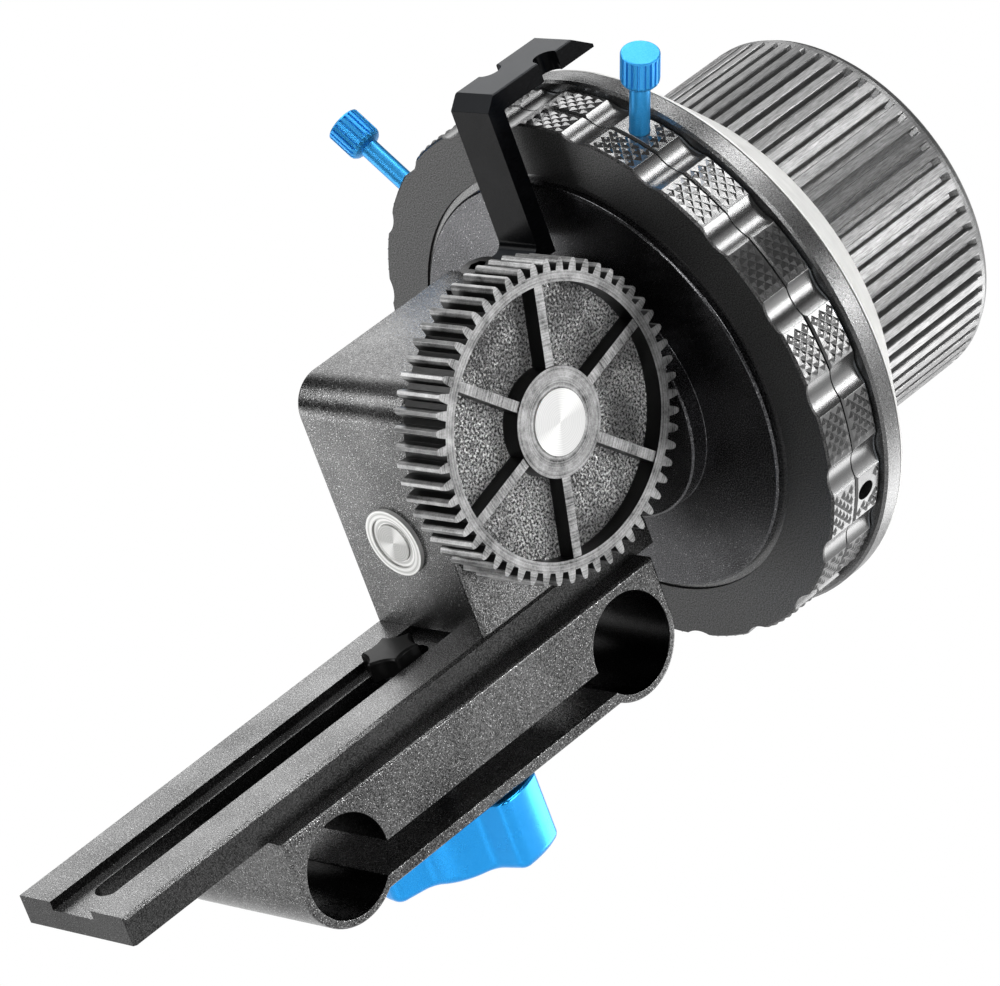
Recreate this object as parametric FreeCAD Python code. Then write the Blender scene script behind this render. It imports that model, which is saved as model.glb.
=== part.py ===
import FreeCAD, Part
import math
import os

from FreeCAD import Matrix, Vector

# Follow focus unit that rides on a pair of round support rods. Millimetres, +Z up.
# +X runs along the rods, +Y along the slide plate towards the handwheel.
# The origin is the middle of the rod bore that lies furthest from the handwheel.

# Clearances and cutting tools
CUT_OVERRUN = 1.0
RUNNING_CLEARANCE = 0.05
FACE_GAP = 0.1

# Rod clamp: one extruded section with two bores and a thin leaf that closes on the rods
ROD_SPACING = 60.0
ROD_BORE_RADIUS = 7.55
CLAMP_WALL = 1.35
CLAMP_DEPTH = 29.4
CLAMP_TOP = 9.2
CLAMP_BODY_DROP = 0.65
CLAMP_SLOT_HEIGHT = 4.5
CLAMP_LEAF_THICKNESS = 1.95
CLAMP_EDGE_CHAMFER = 0.35

# Clamping stud, its hand knob, washer and the lobed nut on the plate
STUD_RADIUS = 2.0
STUD_HOLE_CLEARANCE = 0.3
WASHER_RADIUS = 5.0
WASHER_THICKNESS = 0.6
KNOB_RADIUS = 14.6
KNOB_HEIGHT = 11.5
KNOB_LOBES = 3
KNOB_HUB_RADIUS = 9.4
KNOB_LOBE_WIDTH = 9.6
KNOB_FIRST_LOBE_ANGLE = 12.5
KNOB_LOBE_EDGE_RADIUS = 1.8
KNOB_LOBE_ROOT_RADIUS = 2.6
KNOB_LOWER_RIM_RADIUS = 1.4
KNOB_UPPER_RIM_RADIUS = 0.5
KNOB_STUD_DEPTH = 8.0
NUT_RADIUS = 4.4
NUT_HEIGHT = 3.0
NUT_ROOF = 0.8
NUT_LOBES = 6
NUT_FLUTE_RADIUS = 4.0
NUT_FLUTE_DEPTH = 1.0
NUT_FIRST_LOBE_ANGLE = 30.0
NUT_EDGE_CHAMFER = 0.3

# Slide plate
PLATE_MARGIN = 0.2
PLATE_THICKNESS = 4.6
PLATE_NEAR_END = -35.2
PLATE_CHANNEL_WIDTH = 8.9
PLATE_CHANNEL_DEPTH = 1.4
PLATE_SLOT_NEAR_END = -30.3
PLATE_SLOT_FAR_END = 36.0
PLATE_SLOT_CLEARANCE = 0.25
PLATE_EDGE_CHAMFER = 0.5
PLATE_END_CHAMFER = 0.4

# Gearbox housing
HOUSING_LENGTH = 34.3
HOUSING_NEAR_FACE = 38.0
HOUSING_BIG_RADIUS = 5.2
HOUSING_EDGE_RADIUS = 0.6
HOUSING_SIDE_WALL = 3.5
HOUSING_END_WALL = 5.0
HOUSING_ROOF = 4.7
HOUSING_SIDE_ROOM = 1.6
HOUSING_HEAD_ROOM = 1.3
HOUSING_NOSE_RADIUS = 9.5
HOUSING_NOSE_LENGTH = 5.6

# Plate screws, countersunk from below into the housing's end walls
PLATE_SCREW_RADIUS = 1.5
PLATE_SCREW_HEAD_RADIUS = 2.8
PLATE_SCREW_HEAD_HEIGHT = 1.6
PLATE_SCREW_GRIP = 5.5
PLATE_SCREW_INSET = 4.0

# Wheel shaft along Y and its bearings
WHEEL_AXIS_HEIGHT = 28.6
WHEEL_SHAFT_RADIUS = 3.0
END_BUSH_RADIUS = 4.2
END_BUSH_FLANGE_RADIUS = 5.35
END_BUSH_FLANGE_THICKNESS = 0.7
END_BUSH_RECESS_RADIUS = 4.1
END_BUSH_RECESS_DEPTH = 0.25
BEARING_RADIUS = 6.5
BEARING_WIDTH = 5.0
BEARING_OUTER_RACE = 1.2
BEARING_INNER_RACE = 1.2
BEARING_BALLS = 9
BEARING_BALL_RADIUS = 0.8
BEARING_SHOULDER = 1.1
COLLAR_RADIUS = 5.6
COLLAR_LENGTH = 3.0
WHEEL_SPACER_RADIUS = 4.4
WHEEL_SPACER_LENGTH = 1.1

# Gear shaft along X, crossing above the wheel shaft
GEAR_AXIS_INSET = 17.2
GEAR_AXIS_HEIGHT = 40.5
GEAR_SHAFT_RADIUS = 3.0
SIDE_BUSH_RADIUS = 4.2
SIDE_BUSH_FLANGE_RADIUS = 5.6
SIDE_BUSH_FLANGE_THICKNESS = 0.8
CLIP_RADIUS = 4.4
CLIP_THICKNESS = 0.7
CLIP_GROOVE_DEPTH = 0.5
SHAFT_TAIL = 1.0
GEAR_SPACER_RADIUS = 4.8

# Crossed helical pair inside the housing, forty-five degree helix, one to one
HELICAL_TEETH = 12
HELICAL_FACE_WIDTH = 7.0
HELICAL_ADDENDUM = 0.45
HELICAL_DEDENDUM = 0.8
HELICAL_TOOTH_SHARE = 0.36
HELICAL_TIP_SHARE = 0.2
HELICAL_SECTIONS = 6
HELICAL_SLICES = HELICAL_SECTIONS - 1
HELICAL_HUB_RADIUS = 4.8
HELICAL_HUB_LENGTH = 2.0

# Drive gear that meshes with the lens ring
GEAR_MODULE = 0.8
GEAR_TEETH = 56
GEAR_FACE_WIDTH = 8.8
GEAR_STAND_OFF = 2.8
GEAR_DEDENDUM_SHARE = 1.25
GEAR_RIM_INNER_RADIUS = 19.8
GEAR_HUB_RADIUS = 8.0
GEAR_WEB_THICKNESS = 2.6
GEAR_SPOKES = 6
GEAR_SPOKE_WIDTH = 1.6
GEAR_SPOKE_FIRST_ANGLE = 15.4
GEAR_SPOKE_RECESS = 0.3
GEAR_TOOTH_SHARE = 0.48
GEAR_TIP_SHARE = 0.2
GEAR_MIDDLE_SHARE = 0.38
GEAR_ROOT_SHARE = 0.62
GEAR_CAP_RADIUS = 4.8
GEAR_CAP_DEPTH = 3.0
GEAR_CAP_PROUD = 0.2

# Handwheel: front disc, two stop rings, flanged drum, conical marking ring and ribbed grip
DISC_STEP_IN = 1.1
DISC_THICKNESS = 1.4
DISC_BOSS_RADIUS = 20.5
DISC_BOSS_HEIGHT = 3.0
DISC_SPIGOT_DEPTH = 1.6
RING_RADIUS = 43.3
RING_WALL = 8.3
RING_WIDTH = 5.2
RING_GAP = 0.2
RING_FRONT_SETBACK = 1.0
RING_EDGE_CHAMFER = 0.3
RING_SCALLOPS = 20
RING_SCALLOP_RADIUS = 5.1
RING_SCALLOP_DEPTH = 0.85
RING_FIRST_SCALLOP_ANGLE = 1.0
DRUM_RIM_WALL = 4.0
DRUM_HUB_RADIUS = 8.0
FLANGE_STAND_OUT = 1.1
FLANGE_THICKNESS = 3.5
FLANGE_EDGE_CHAMFER = 0.4
FRICTION_RING_SECTION = 0.8
FRICTION_RING_STANDOFF = 0.06
MARKING_STEP_IN = 0.2
MARKING_EDGE = 0.3
MARKING_SLOPE_LENGTH = 10.3
MARKING_WALL = 2.0
MARKING_SEAT_STEP_IN = 13.2
MARKING_LIP = 1.6
GRIP_STEP_IN = 4.8
GRIP_LENGTH = 29.9
GRIP_RIBS = 66
GRIP_GROOVE_DEPTH = 1.1
GRIP_GROOVE_SHARE = 0.46
GRIP_GROOVE_FLOOR_SHARE = 0.3
GRIP_END_RADIUS = 2.4
GRIP_PLAIN_LENGTH = 2.6
GRIP_RUN_OUT_LENGTH = 1.6
GRIP_WALL = 5.5
GRIP_END_WALL = 4.0
GRIP_DISH_RIM = 9.1
GRIP_DISH_DEPTH = 1.5
GRIP_SCREW_COUNT = 3
GRIP_SCREW_RADIUS = 1.5
GRIP_SCREW_HEAD_RADIUS = 2.7
GRIP_SCREW_HEAD_HEIGHT = 2.0
GRIP_SCREW_GRIP = 7.0
SHAFT_SCREW_RADIUS = 1.5
SHAFT_SCREW_HEAD_RADIUS = 5.0
SHAFT_SCREW_HEAD_HEIGHT = 2.0
SHAFT_SCREW_GRIP = 8.0

# Stop screws, one in each ring, standing out along the radius
STOP_SCREW_RADIUS = 1.5
STOP_SCREW_A_ANGLE = 136.0
STOP_SCREW_B_ANGLE = 65.0
STOP_SCREW_OFFSET_B = -0.6
STOP_HOLE_STEP_ANGLE = 90.0
STOP_SCREW_TIP_GAP = 0.3
STOP_HEAD_LENGTH = 6.3
STOP_HEAD_RADIUS = 3.05
STOP_HEAD_NECK_LENGTH = 1.1
STOP_HEAD_CLEARANCE = 0.6
STOP_HEAD_CHAMFER = 0.3

# Stop arm: foot on the housing, leg in front of the wheel, pointer over the rings
ARM_WIDTH = 8.0
ARM_THICKNESS = 3.0
ARM_TAB_THICKNESS = 1.4
ARM_TAB_OVERLAP = 7.5
ARM_FOOT_FILLET = 1.6
ARM_LEG_GAP = 2.1
ARM_FLANGE_CLEARANCE = 2.9
ARM_EDGE_CHAMFER = 0.2
ARM_CORNER_CHAMFER = 2.0
ARM_TIP_OVERHANG = 2.0
ARM_TIP_SLOPE_LENGTH = 3.6
ARM_TIP_NOSE = 0.5
ARM_NOTCH_RADIUS = 1.9
ARM_NOTCH_INSET = 0.3
ARM_SCREW_INSET = 3.6
ARM_SCREW_RADIUS = 1.5
ARM_SCREW_HEAD_RADIUS = 2.6
ARM_SCREW_HEAD_HEIGHT = 2.2
ARM_SCREW_GRIP = 3.6
ARM_SCREW_SOCKET_RADIUS = 1.4
ARM_SCREW_SOCKET_DEPTH = 1.2

# Places that follow from the sizes above
STUD_Y = ROD_SPACING / 2
CLAMP_END = ROD_BORE_RADIUS + CLAMP_WALL
LEAF_TOP = -CLAMP_BODY_DROP - CLAMP_SLOT_HEIGHT
LEAF_BOTTOM = LEAF_TOP - CLAMP_LEAF_THICKNESS
PLATE_TOP = CLAMP_TOP + PLATE_THICKNESS
CHANNEL_FLOOR = PLATE_TOP - PLATE_CHANNEL_DEPTH
HELICAL_PITCH_RADIUS = (GEAR_AXIS_HEIGHT - WHEEL_AXIS_HEIGHT) / 2
HELICAL_TIP_RADIUS = HELICAL_PITCH_RADIUS + HELICAL_ADDENDUM
HOUSING_WIDTH = (HELICAL_TIP_RADIUS + HOUSING_SIDE_ROOM + HOUSING_SIDE_WALL) * 2
HOUSING_TOP = GEAR_AXIS_HEIGHT + HELICAL_TIP_RADIUS + HOUSING_HEAD_ROOM + HOUSING_ROOF
HOUSING_FAR_FACE = HOUSING_NEAR_FACE + HOUSING_LENGTH
PLATE_FAR_END = HOUSING_FAR_FACE
PLATE_WIDTH = HOUSING_WIDTH + PLATE_MARGIN * 2
PLATE_SCREW_SPREAD = HOUSING_WIDTH - PLATE_SCREW_INSET * 2
GEAR_AXIS_Y = HOUSING_FAR_FACE - GEAR_AXIS_INSET
DISC_FACE_Y = HOUSING_FAR_FACE + HOUSING_NOSE_LENGTH + WHEEL_SPACER_LENGTH + DISC_BOSS_HEIGHT
HOUSING_SIDE = HOUSING_WIDTH / 2
GEAR_BACK_X = HOUSING_SIDE + GEAR_STAND_OFF
GEAR_FRONT_X = GEAR_BACK_X + GEAR_FACE_WIDTH
RING_A_Y = DISC_FACE_Y + RING_FRONT_SETBACK
RING_B_Y = RING_A_Y + RING_WIDTH + RING_GAP
DRUM_FRONT_Y = DISC_FACE_Y + DISC_THICKNESS
RING_BORE_RADIUS = RING_RADIUS - RING_WALL
DISC_RADIUS = RING_BORE_RADIUS - DISC_STEP_IN
DRUM_RADIUS = RING_BORE_RADIUS - RUNNING_CLEARANCE
DRUM_INNER_RADIUS = DRUM_RADIUS - DRUM_RIM_WALL
FLANGE_Y = RING_B_Y + RING_WIDTH + RING_GAP
MARKING_Y = FLANGE_Y + FLANGE_THICKNESS
GRIP_Y = MARKING_Y + MARKING_EDGE + MARKING_SLOPE_LENGTH
GRIP_END_Y = GRIP_Y + GRIP_LENGTH
FLANGE_RADIUS = RING_RADIUS + FLANGE_STAND_OUT
MARKING_RADIUS = FLANGE_RADIUS - MARKING_STEP_IN
MARKING_SEAT_RADIUS = MARKING_RADIUS - MARKING_SEAT_STEP_IN
GRIP_RADIUS = MARKING_RADIUS - MARKING_SLOPE_LENGTH - GRIP_STEP_IN
GRIP_INNER_RADIUS = GRIP_RADIUS - GRIP_WALL
GRIP_DISH_RADIUS = GRIP_RADIUS - GRIP_DISH_RIM
MARKING_BORE_RADIUS = GRIP_INNER_RADIUS - MARKING_LIP
GRIP_SCREW_CIRCLE = GRIP_RADIUS - GRIP_WALL / 2
RING_A_MIDDLE = RING_A_Y + RING_WIDTH / 2
RING_B_MIDDLE = RING_B_Y + RING_WIDTH / 2
SCREW_A_Y = RING_A_MIDDLE
SCREW_B_Y = RING_B_MIDDLE + STOP_SCREW_OFFSET_B
ARM_TAB_TOP = HOUSING_TOP + ARM_TAB_THICKNESS
ARM_TAB_NEAR_END = HOUSING_FAR_FACE - ARM_TAB_OVERLAP
ARM_SCREW_Y = HOUSING_FAR_FACE - ARM_SCREW_INSET
ARM_LEG_Y = DISC_FACE_Y - ARM_LEG_GAP - ARM_THICKNESS
ARM_TIP_Y = MARKING_Y + ARM_TIP_OVERHANG
ARM_TIP_TOP_Y = ARM_TIP_Y - ARM_TIP_SLOPE_LENGTH
ARM_REACH = FLANGE_RADIUS + ARM_FLANGE_CLEARANCE
ARM_TOP = WHEEL_AXIS_HEIGHT + ARM_REACH + ARM_THICKNESS
STOP_HEAD_START = ARM_REACH + ARM_THICKNESS + STOP_HEAD_CLEARANCE

ALONG_X = Vector(1, 0, 0)
ALONG_Y = Vector(0, 1, 0)
ALONG_Z = Vector(0, 0, 1)
HALF_TURN = 180.0
FULL_TURN = 360.0


def on_wheel_axis(y):
    """The point of the wheel's axis at one place along Y."""
    return Vector(0, y, WHEEL_AXIS_HEIGHT)


def on_gear_axis(x):
    """The point of the drive gear's axis at one place along X."""
    return Vector(x, GEAR_AXIS_Y, GEAR_AXIS_HEIGHT)


def radial(angle):
    """Unit vector away from the wheel's axis, angle in degrees from +X towards +Z."""
    turn = math.radians(angle)
    return Vector(math.cos(turn), 0, math.sin(turn))


def cylinder(radius, length, base, direction):
    return Part.makeCylinder(radius, length, base, direction)


def tube(outer, inner, length, base, direction):
    overrun = direction * CUT_OVERRUN
    bore = cylinder(inner, length + CUT_OVERRUN * 2, base - overrun, direction)
    return cylinder(outer, length, base, direction).cut(bore)


def block(size_x, size_y, size_z, centre_x, low_y, low_z):
    return Part.makeBox(size_x, size_y, size_z, Vector(centre_x - size_x / 2, low_y, low_z))


def revolved(points, axis_point, axis):
    """Solid of revolution of a closed outline."""
    outline = Part.makePolygon(points + [points[0]])
    return Part.Face(outline).revolve(axis_point, axis, FULL_TURN)


def turned_on_wheel(outline):
    """Solid turned about the wheel's axis from pairs of radius and place along Y."""
    points = [on_wheel_axis(y) + ALONG_X * radius for radius, y in outline]
    return revolved(points, on_wheel_axis(0), ALONG_Y)


def around(shape, count, centre, axis):
    """Copies of a cutting tool spaced evenly about an axis."""
    copies = []
    for index in range(count):
        copy = shape.copy()
        copy.rotate(centre, axis, FULL_TURN * index / count)
        copies.append(copy)
    return copies


def extruded_x(points, low_x, length):
    """Prism along +X of a closed outline given as pairs of Y and Z."""
    corners = [Vector(low_x, y, z) for y, z in points]
    return Part.Face(Part.makePolygon(corners + [corners[0]])).extrude(ALONG_X * length)


def fluted_disc(radius, height, lobes, flute_radius, flute_depth, first_angle, base):
    """Round disc along +Z with concave flutes between its lobes."""
    body = cylinder(radius, height, base, ALONG_Z)
    reach = radius - flute_depth + flute_radius
    turn = math.radians(first_angle + HALF_TURN / lobes)
    centre = base + Vector(math.cos(turn), math.sin(turn), 0) * reach
    low = centre - ALONG_Z * CUT_OVERRUN
    flute = cylinder(flute_radius, height + CUT_OVERRUN * 2, low, ALONG_Z)
    return body.cut(around(flute, lobes, base, ALONG_Z))


def is_upright(edge):
    """Whether an edge runs straight along Z."""
    box = edge.BoundBox
    return box.ZLength > FACE_GAP and box.XLength < FACE_GAP and box.YLength < FACE_GAP


def spread(edge, axis):
    """Distance of an upright edge from an upright axis."""
    middle = edge.BoundBox.Center
    return math.hypot(middle.x - axis.x, middle.y - axis.y)


def passes(edge, point):
    """Whether an edge runs along X through a point."""
    box = edge.BoundBox
    return box.XLength > FACE_GAP and abs(box.Center.y - point.y) + abs(box.Center.z - point.z) < FACE_GAP


def rod_clamp():
    """Extruded section: body with two bores, slot, and the leaf that closes on the rods."""
    low_x = -CLAMP_DEPTH / 2
    foot = math.sqrt(CLAMP_END ** 2 - LEAF_BOTTOM ** 2)
    turn = (math.pi + math.atan2(-LEAF_BOTTOM, -foot)) / 2
    middle = Vector(0, math.cos(turn), -math.sin(turn)) * CLAMP_END
    near = Vector(low_x, 0, 0)
    far = Vector(low_x, ROD_SPACING, 0)
    mirrored = Vector(0, -middle.y, middle.z)
    corners = [
        far + Vector(0, CLAMP_END, 0),
        far + Vector(0, CLAMP_END, CLAMP_TOP),
        near + Vector(0, -CLAMP_END, CLAMP_TOP),
        near + Vector(0, -CLAMP_END, 0),
    ]
    near_foot = near + Vector(0, foot, LEAF_BOTTOM)
    far_foot = far + Vector(0, -foot, LEAF_BOTTOM)
    edges = [Part.makeLine(corners[i], corners[i + 1]) for i in range(len(corners) - 1)]
    edges.append(Part.Arc(corners[-1], near + middle, near_foot).toShape())
    edges.append(Part.makeLine(near_foot, far_foot))
    edges.append(Part.Arc(far_foot, far + mirrored, corners[0]).toShape())
    section = Part.Face(Part.Wire(edges))
    body = section.extrude(ALONG_X * CLAMP_DEPTH)
    rims = [edge for edge in body.Edges if edge.BoundBox.XLength < CUT_OVERRUN / 2]
    body = body.makeChamfer(CLAMP_EDGE_CHAMFER, rims)
    start = Vector(low_x - CUT_OVERRUN, 0, 0)
    reach = CLAMP_DEPTH + CUT_OVERRUN * 2
    bores = [cylinder(ROD_BORE_RADIUS, reach, start + ALONG_Y * y, ALONG_X) for y in (0, ROD_SPACING)]
    slot_inset = foot
    slot = block(reach, ROD_SPACING - slot_inset * 2, CLAMP_SLOT_HEIGHT, 0, slot_inset, LEAF_TOP)
    hole = cylinder(
        STUD_RADIUS + STUD_HOLE_CLEARANCE,
        CLAMP_TOP - LEAF_BOTTOM + CUT_OVERRUN * 2,
        Vector(0, STUD_Y, LEAF_BOTTOM - CUT_OVERRUN),
        ALONG_Z,
    )
    return body.cut(bores + [slot, hole])


def clamp_washer():
    top = Vector(0, STUD_Y, LEAF_BOTTOM - WASHER_THICKNESS)
    return tube(WASHER_RADIUS, STUD_RADIUS + STUD_HOLE_CLEARANCE, WASHER_THICKNESS, top, ALONG_Z)


def knob_top():
    return LEAF_BOTTOM - WASHER_THICKNESS - FACE_GAP


def knob_lobe(base):
    """One straight-sided lobe of the knob with a round end."""
    arm = block(KNOB_RADIUS, KNOB_LOBE_WIDTH, KNOB_HEIGHT, KNOB_RADIUS / 2, -KNOB_LOBE_WIDTH / 2, base.z)
    arm.translate(ALONG_Y * base.y)
    arm = arm.common(cylinder(KNOB_RADIUS, KNOB_HEIGHT, base, ALONG_Z))
    arm.rotate(base, ALONG_Z, KNOB_FIRST_LOBE_ANGLE)
    return arm


def clamp_knob():
    """Three-lobed hand knob under the leaf: round hub, lobes, rounded corners and rims."""
    base = Vector(0, STUD_Y, knob_top() - KNOB_HEIGHT)
    hub = cylinder(KNOB_HUB_RADIUS, KNOB_HEIGHT, base, ALONG_Z)
    knob = hub.fuse(around(knob_lobe(base), KNOB_LOBES, base, ALONG_Z)).removeSplitter()
    axis = Vector(0, STUD_Y, 0)
    tips = [edge for edge in knob.Edges if is_upright(edge) and spread(edge, axis) > KNOB_RADIUS - FACE_GAP]
    knob = knob.makeFillet(KNOB_LOBE_EDGE_RADIUS, tips)
    reach = KNOB_HUB_RADIUS + FACE_GAP
    roots = [edge for edge in knob.Edges if is_upright(edge) and spread(edge, axis) < reach]
    knob = knob.makeFillet(KNOB_LOBE_ROOT_RADIUS, roots)
    lower = [edge for edge in knob.Edges if edge.BoundBox.ZMax < base.z + FACE_GAP]
    knob = knob.makeFillet(KNOB_LOWER_RIM_RADIUS, lower)
    upper = [edge for edge in knob.Edges if edge.BoundBox.ZMin > knob_top() - FACE_GAP]
    knob = knob.makeFillet(KNOB_UPPER_RIM_RADIUS, upper)
    return knob.cut(cylinder(STUD_RADIUS, KNOB_STUD_DEPTH + CUT_OVERRUN, stud_base(), ALONG_Z))


def stud_base():
    return Vector(0, STUD_Y, knob_top() - KNOB_STUD_DEPTH)


def nut_base():
    return Vector(0, STUD_Y, CHANNEL_FLOOR + FACE_GAP)


def clamp_stud():
    """Stud fixed in the knob, through leaf, body and plate slot into the blind nut."""
    base = stud_base()
    return cylinder(STUD_RADIUS, nut_base().z + NUT_HEIGHT - NUT_ROOF - FACE_GAP - base.z, base, ALONG_Z)


def slot_nut():
    """Six-cornered blind nut with hollowed flanks that runs in the plate's channel."""
    nut = fluted_disc(
        NUT_RADIUS, NUT_HEIGHT, NUT_LOBES, NUT_FLUTE_RADIUS, NUT_FLUTE_DEPTH, NUT_FIRST_LOBE_ANGLE, nut_base()
    )
    rim = [edge for edge in nut.Edges if edge.BoundBox.ZMin > nut_base().z + NUT_HEIGHT - FACE_GAP]
    nut = nut.makeChamfer(NUT_EDGE_CHAMFER, rim)
    low = nut_base() - ALONG_Z * CUT_OVERRUN
    bore = cylinder(STUD_RADIUS + RUNNING_CLEARANCE, NUT_HEIGHT - NUT_ROOF + CUT_OVERRUN, low, ALONG_Z)
    return nut.cut(bore)


def plate_screw_places():
    """Axes of the four screws that hold the housing down on the plate."""
    near = HOUSING_NEAR_FACE + HOUSING_END_WALL / 2
    far = HOUSING_FAR_FACE - HOUSING_END_WALL / 2
    return [(side * PLATE_SCREW_SPREAD / 2, y) for y in (near, far) for side in (-1, 1)]


def countersunk(x, y, radius, head_radius, head_height, length):
    """Countersunk screw pointing up, its head flush with the plate's underside."""
    base = Vector(x, y, CLAMP_TOP)
    head = Part.makeCone(head_radius, radius, head_height, base, ALONG_Z)
    return head.fuse(cylinder(radius, length, base, ALONG_Z)).removeSplitter()


def plate_screws():
    length = PLATE_THICKNESS + PLATE_SCREW_GRIP
    screws = []
    for x, y in plate_screw_places():
        screws.append(
            countersunk(x, y, PLATE_SCREW_RADIUS, PLATE_SCREW_HEAD_RADIUS, PLATE_SCREW_HEAD_HEIGHT, length)
        )
    return Part.makeCompound(screws)


def slide_plate():
    """Long plate with a channel along its top and a slot for the clamping stud."""
    length = PLATE_FAR_END - PLATE_NEAR_END
    body = block(PLATE_WIDTH, length, PLATE_THICKNESS, 0, PLATE_NEAR_END, CLAMP_TOP)
    upper = [edge for edge in body.Edges if edge.BoundBox.ZMin > PLATE_TOP - FACE_GAP]
    body = body.makeChamfer(PLATE_EDGE_CHAMFER, [edge for edge in upper if edge.BoundBox.YLength > FACE_GAP])
    ends = [edge for edge in body.Edges if edge.BoundBox.YMax < PLATE_NEAR_END + FACE_GAP]
    body = body.makeChamfer(PLATE_END_CHAMFER, [edge for edge in ends if is_upright(edge)])
    channel = block(
        PLATE_CHANNEL_WIDTH,
        length + CUT_OVERRUN * 2,
        PLATE_CHANNEL_DEPTH + CUT_OVERRUN,
        0,
        PLATE_NEAR_END - CUT_OVERRUN,
        CHANNEL_FLOOR,
    )
    half = STUD_RADIUS + PLATE_SLOT_CLEARANCE
    low = CLAMP_TOP - CUT_OVERRUN
    height = PLATE_THICKNESS + CUT_OVERRUN * 2
    near = PLATE_SLOT_NEAR_END + half
    far = PLATE_SLOT_FAR_END - half
    slot = block(half * 2, far - near, height, 0, near, low)
    ends = [cylinder(half, height, Vector(0, y, low), ALONG_Z) for y in (near, far)]
    screws = [screw.copy() for screw in plate_screws().Solids]
    return body.cut([channel, slot] + ends + screws)


def gearbox_housing():
    """Milled block, hollow from below, bored across for both shafts, with a bearing nose."""
    height = HOUSING_TOP - PLATE_TOP
    body = block(HOUSING_WIDTH, HOUSING_LENGTH, height, 0, HOUSING_NEAR_FACE, PLATE_TOP)
    big = [
        edge
        for edge in body.Edges
        if edge.BoundBox.ZMin > HOUSING_TOP - FACE_GAP and edge.BoundBox.YMax < HOUSING_NEAR_FACE + FACE_GAP
    ]
    body = body.makeFillet(HOUSING_BIG_RADIUS, big)
    small = [
        edge
        for edge in body.Edges
        if edge.BoundBox.ZMax > PLATE_TOP + FACE_GAP and edge.BoundBox.XLength < FACE_GAP
    ]
    body = body.makeFillet(HOUSING_EDGE_RADIUS, small)
    nose = cylinder(HOUSING_NOSE_RADIUS, HOUSING_NOSE_LENGTH, on_wheel_axis(HOUSING_FAR_FACE), ALONG_Y)
    body = body.fuse(nose).removeSplitter()
    cavity = block(
        HOUSING_WIDTH - HOUSING_SIDE_WALL * 2,
        HOUSING_LENGTH - HOUSING_END_WALL * 2,
        height - HOUSING_ROOF + CUT_OVERRUN,
        0,
        HOUSING_NEAR_FACE + HOUSING_END_WALL,
        PLATE_TOP - CUT_OVERRUN,
    )
    through_y = HOUSING_END_WALL + CUT_OVERRUN * 2
    front_bore = cylinder(END_BUSH_RADIUS, through_y, on_wheel_axis(HOUSING_NEAR_FACE - CUT_OVERRUN), ALONG_Y)
    shaft_way = cylinder(
        BEARING_RADIUS - BEARING_SHOULDER,
        HOUSING_END_WALL + HOUSING_NOSE_LENGTH,
        on_wheel_axis(HOUSING_FAR_FACE - HOUSING_END_WALL - CUT_OVERRUN),
        ALONG_Y,
    )
    seat = cylinder(BEARING_RADIUS, BEARING_WIDTH + CUT_OVERRUN, on_wheel_axis(bearing_y()), ALONG_Y)
    side_bores = cylinder(
        SIDE_BUSH_RADIUS, HOUSING_WIDTH + CUT_OVERRUN * 2, on_gear_axis(-HOUSING_SIDE - CUT_OVERRUN), ALONG_X
    )
    screw_holes = []
    for x, y in plate_screw_places():
        screw_holes.append(cylinder(PLATE_SCREW_RADIUS, PLATE_SCREW_GRIP, Vector(x, y, PLATE_TOP), ALONG_Z))
    arm_hole = cylinder(ARM_SCREW_RADIUS, ARM_SCREW_GRIP + CUT_OVERRUN, arm_screw_end(), ALONG_Z)
    return body.cut([cavity, front_bore, shaft_way, seat, side_bores, arm_hole] + screw_holes)


def arm_screw_end():
    return Vector(0, ARM_SCREW_Y, HOUSING_TOP - ARM_SCREW_GRIP)


def bearing_y():
    return HOUSING_FAR_FACE + HOUSING_NOSE_LENGTH - BEARING_WIDTH


def shaft_end_bush():
    """Bright flanged bush that carries the wheel shaft's free end."""
    face = HOUSING_NEAR_FACE - END_BUSH_FLANGE_THICKNESS
    bore = WHEEL_SHAFT_RADIUS + RUNNING_CLEARANCE
    inner_end = HOUSING_NEAR_FACE + HOUSING_END_WALL
    return turned_on_wheel([
        (bore, face + END_BUSH_RECESS_DEPTH),
        (END_BUSH_RECESS_RADIUS, face + END_BUSH_RECESS_DEPTH),
        (END_BUSH_RECESS_RADIUS, face),
        (END_BUSH_FLANGE_RADIUS, face),
        (END_BUSH_FLANGE_RADIUS, HOUSING_NEAR_FACE),
        (END_BUSH_RADIUS, HOUSING_NEAR_FACE),
        (END_BUSH_RADIUS, inner_end),
        (bore, inner_end),
    ])


def ball_circle_radius():
    return (WHEEL_SHAFT_RADIUS + BEARING_INNER_RACE + BEARING_RADIUS - BEARING_OUTER_RACE) / 2


def ball_track():
    """Ring-shaped tool for the tracks that the balls run in."""
    middle = on_wheel_axis(bearing_y() + BEARING_WIDTH / 2)
    return Part.makeTorus(ball_circle_radius(), BEARING_BALL_RADIUS + RUNNING_CLEARANCE, middle, ALONG_Y)


def bearing_outer_race():
    """Outer race of the ball bearing, seated in the housing's nose."""
    inner = BEARING_RADIUS - BEARING_OUTER_RACE
    race = tube(BEARING_RADIUS, inner, BEARING_WIDTH, on_wheel_axis(bearing_y()), ALONG_Y)
    return race.cut(ball_track())


def bearing_inner_race():
    """Inner race of the ball bearing, seated on the wheel shaft."""
    outer = WHEEL_SHAFT_RADIUS + BEARING_INNER_RACE
    race = tube(outer, WHEEL_SHAFT_RADIUS, BEARING_WIDTH, on_wheel_axis(bearing_y()), ALONG_Y)
    return race.cut(ball_track())


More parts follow.
